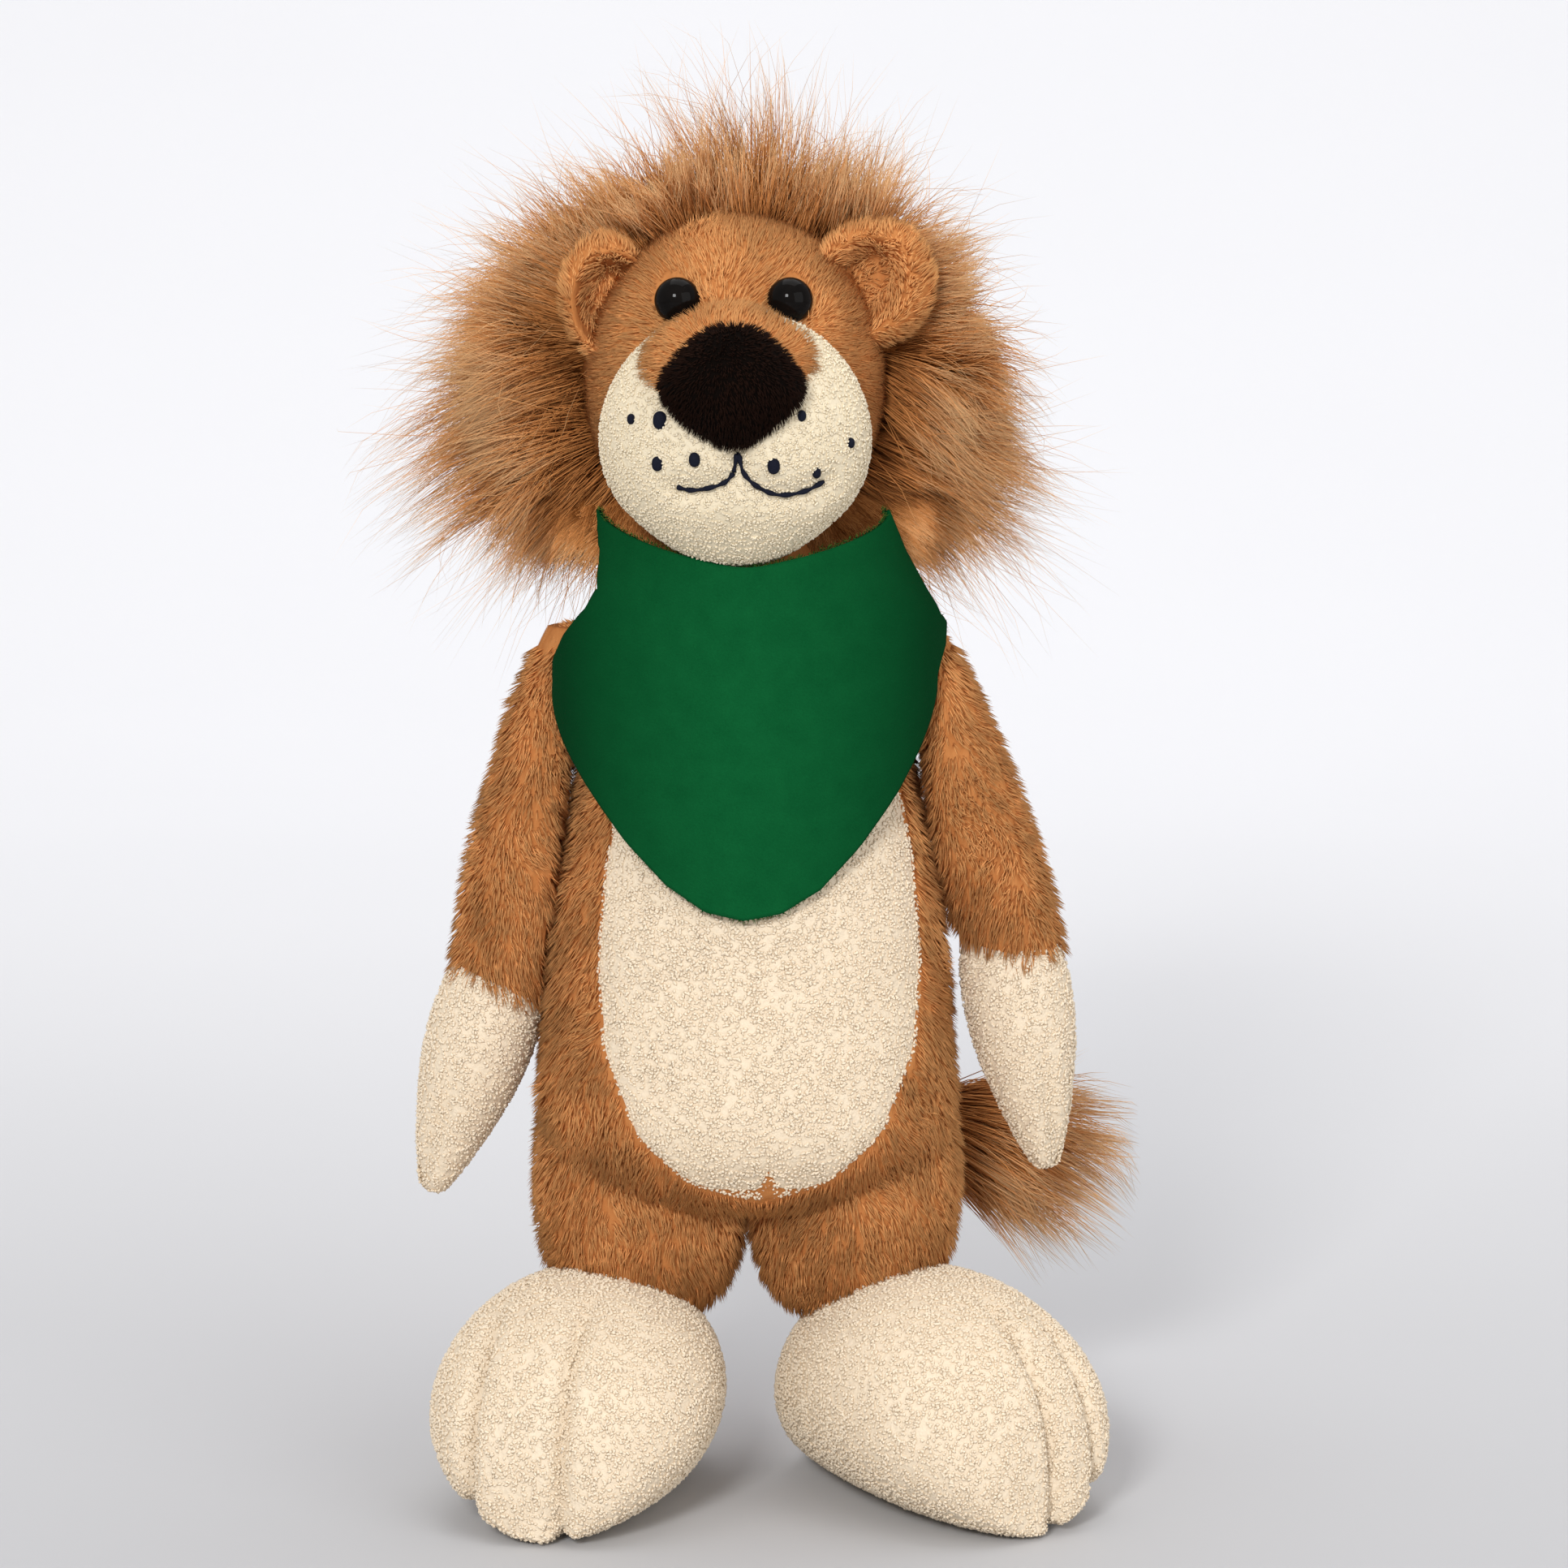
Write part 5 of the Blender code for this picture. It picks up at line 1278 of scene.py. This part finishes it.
class LION_OT_inside(Operator):
    """Finishes for the stuffing, the neck and the washers, which the skins hide"""
    bl_idname = "lion.inside"
    bl_label = "Inside pieces"

    def execute(self, context):
        nodes = frame["nodes"]
        finishes = {"filling": "filling", "washer": "washer", "neck": "brown_backing"}
        done = 0
        for name, obj in nodes.items():
            for word, finish in finishes.items():
                if name.endswith(word):
                    obj.data.materials.clear()
                    obj.data.materials.append(Cloths.get(finish))
                    done += 1
        if not done:
            raise RuntimeError("no inside piece was found")
        return {"FINISHED"}


class LION_OT_stage(Operator):
    """Pale floor and backdrop, with painted shade darkening the floor towards the front, soft
    lamps and the camera
    """
    bl_idname = "lion.stage"
    bl_label = "Stage"

    def execute(self, context):
        values = context.scene.lion_stage
        paint = Paint("pale_floor", 0.7)
        tone = paint.noise(paint.place(), 3.0, 2.0) * 0.06
        # Painted shade: the floor is darkened towards the front along its Object Y coordinate
        # and stays lighter behind the lion.
        near = paint.node("ShaderNodeMapRange", {"interpolation_type": "SMOOTHSTEP"},
                          {"Value": paint.split(paint.place())[1], 1: 1.2, 2: -0.4})
        paint.set("Base Color", paint.mix(near + tone, values.floor,
                                          tuple(c * 0.52 for c in values.floor)))
        x = np.linspace(-3.0, 3.0, 9)[None] + np.zeros((40, 1))
        run = np.linspace(0.0, 1.0, 40)[:, None]
        turn = np.clip((run - 0.5) / 0.25, 0.0, 1.0) * math.pi / 2.0
        y = np.where(run < 0.5, -2.2 + run * 6.4, 1.0 + 0.9 * np.sin(turn)) + 0.0 * x
        z = 0.9 * (1.0 - np.cos(turn)) + np.clip(run - 0.75, 0.0, 1.0) * 8.0 + 0.0 * x
        grid = np.stack((x, y, z), -1)
        index = np.arange(grid.shape[0] * grid.shape[1]).reshape(grid.shape[:2])
        quads = np.stack((index[:-1, :-1], index[:-1, 1:], index[1:, 1:], index[1:, :-1]), -1)
        floor = make_object("floor", grid.reshape(-1, 3), [quads.reshape(-1, 4)],
                            paint.material, None)

        world = bpy.data.worlds.new("soft_room")
        world.use_nodes = True
        back = world.node_tree.nodes["Background"]
        back.inputs["Color"].default_value = (*values.floor, 1.0)
        back.inputs["Strength"].default_value = 0.62
        context.scene.world = world

        for name, place, size, power, look in (
                ("key", (-0.45, -1.8, 1.0), 0.4, 24.0, (0.0, 0.0, 0.16)),
                ("fill", (1.2, -1.4, 0.7), 1.4, 10.0, (0.0, 0.0, 0.16)),
                ("top", (0.1, 0.3, 1.7), 1.4, 10.0, (0.0, 0.0, 0.1))):
            data = bpy.data.lights.new(name, "AREA")
            data.size = size
            data.energy = power
            lamp = bpy.data.objects.new(name, data)
            lamp.location = place
            away = np.array(place) - np.array(look)
            flat = math.hypot(away[0], away[1])
            lamp.rotation_euler = (math.atan2(flat, away[2]), 0.0,
                                   math.atan2(away[0], -away[1]))
            context.scene.collection.objects.link(lamp)

        view = bpy.data.cameras.new("view")
        view.lens = values.lens
        view.sensor_width = 36.0
        camera = bpy.data.objects.new("view", view)
        camera.location = (0.0084, -values.distance * math.cos(values.rise),
                           0.160 + values.distance * math.sin(values.rise))
        camera.rotation_euler = (math.pi / 2.0 - values.rise, 0.0, 0.0)
        context.scene.collection.objects.link(camera)
        context.scene.camera = camera
        context.scene.view_settings.view_transform = "Standard"
        return {"FINISHED"}


PIECES = (LION_OT_torso, LION_OT_belly, LION_OT_head, LION_OT_muzzle, LION_OT_nose,
          LION_OT_eyes, LION_OT_stitches, LION_OT_ears, LION_OT_mane, LION_OT_bandana,
          LION_OT_arms, LION_OT_hands, LION_OT_legs, LION_OT_feet, LION_OT_tail,
          LION_OT_inside, LION_OT_stage)


class LION_PT_panel(Panel):
    """Lists the lion's sizes, colours and pieces"""
    bl_idname = "LION_PT_panel"
    bl_label = "Plush Lion"
    bl_space_type = "VIEW_3D"
    bl_region_type = "UI"
    bl_category = "Plush Lion"

    def draw(self, context):
        for group in ("lion_cloth", "lion_mane", "lion_stage"):
            values = getattr(context.scene, group)
            box = self.layout.box()
            for name in values.__annotations__:
                box.prop(values, name)
        for piece in PIECES:
            self.layout.operator(piece.bl_idname)


CLASSES = (LionCloth, LionMane, LionStage, *PIECES, LION_PT_panel)


def register():
    for made in CLASSES:
        bpy.utils.register_class(made)
    bpy.types.Scene.lion_cloth = PointerProperty(type=LionCloth)
    bpy.types.Scene.lion_mane = PointerProperty(type=LionMane)
    bpy.types.Scene.lion_stage = PointerProperty(type=LionStage)


def unregister():
    del bpy.types.Scene.lion_stage
    del bpy.types.Scene.lion_mane
    del bpy.types.Scene.lion_cloth
    for made in reversed(CLASSES):
        bpy.utils.unregister_class(made)


def main():
    register()
    for piece in PIECES:
        group, name = piece.bl_idname.split(".")
        getattr(getattr(bpy.ops, group), name)()
    bpy.context.view_layer.update()


if __name__ == "__main__":
    main()
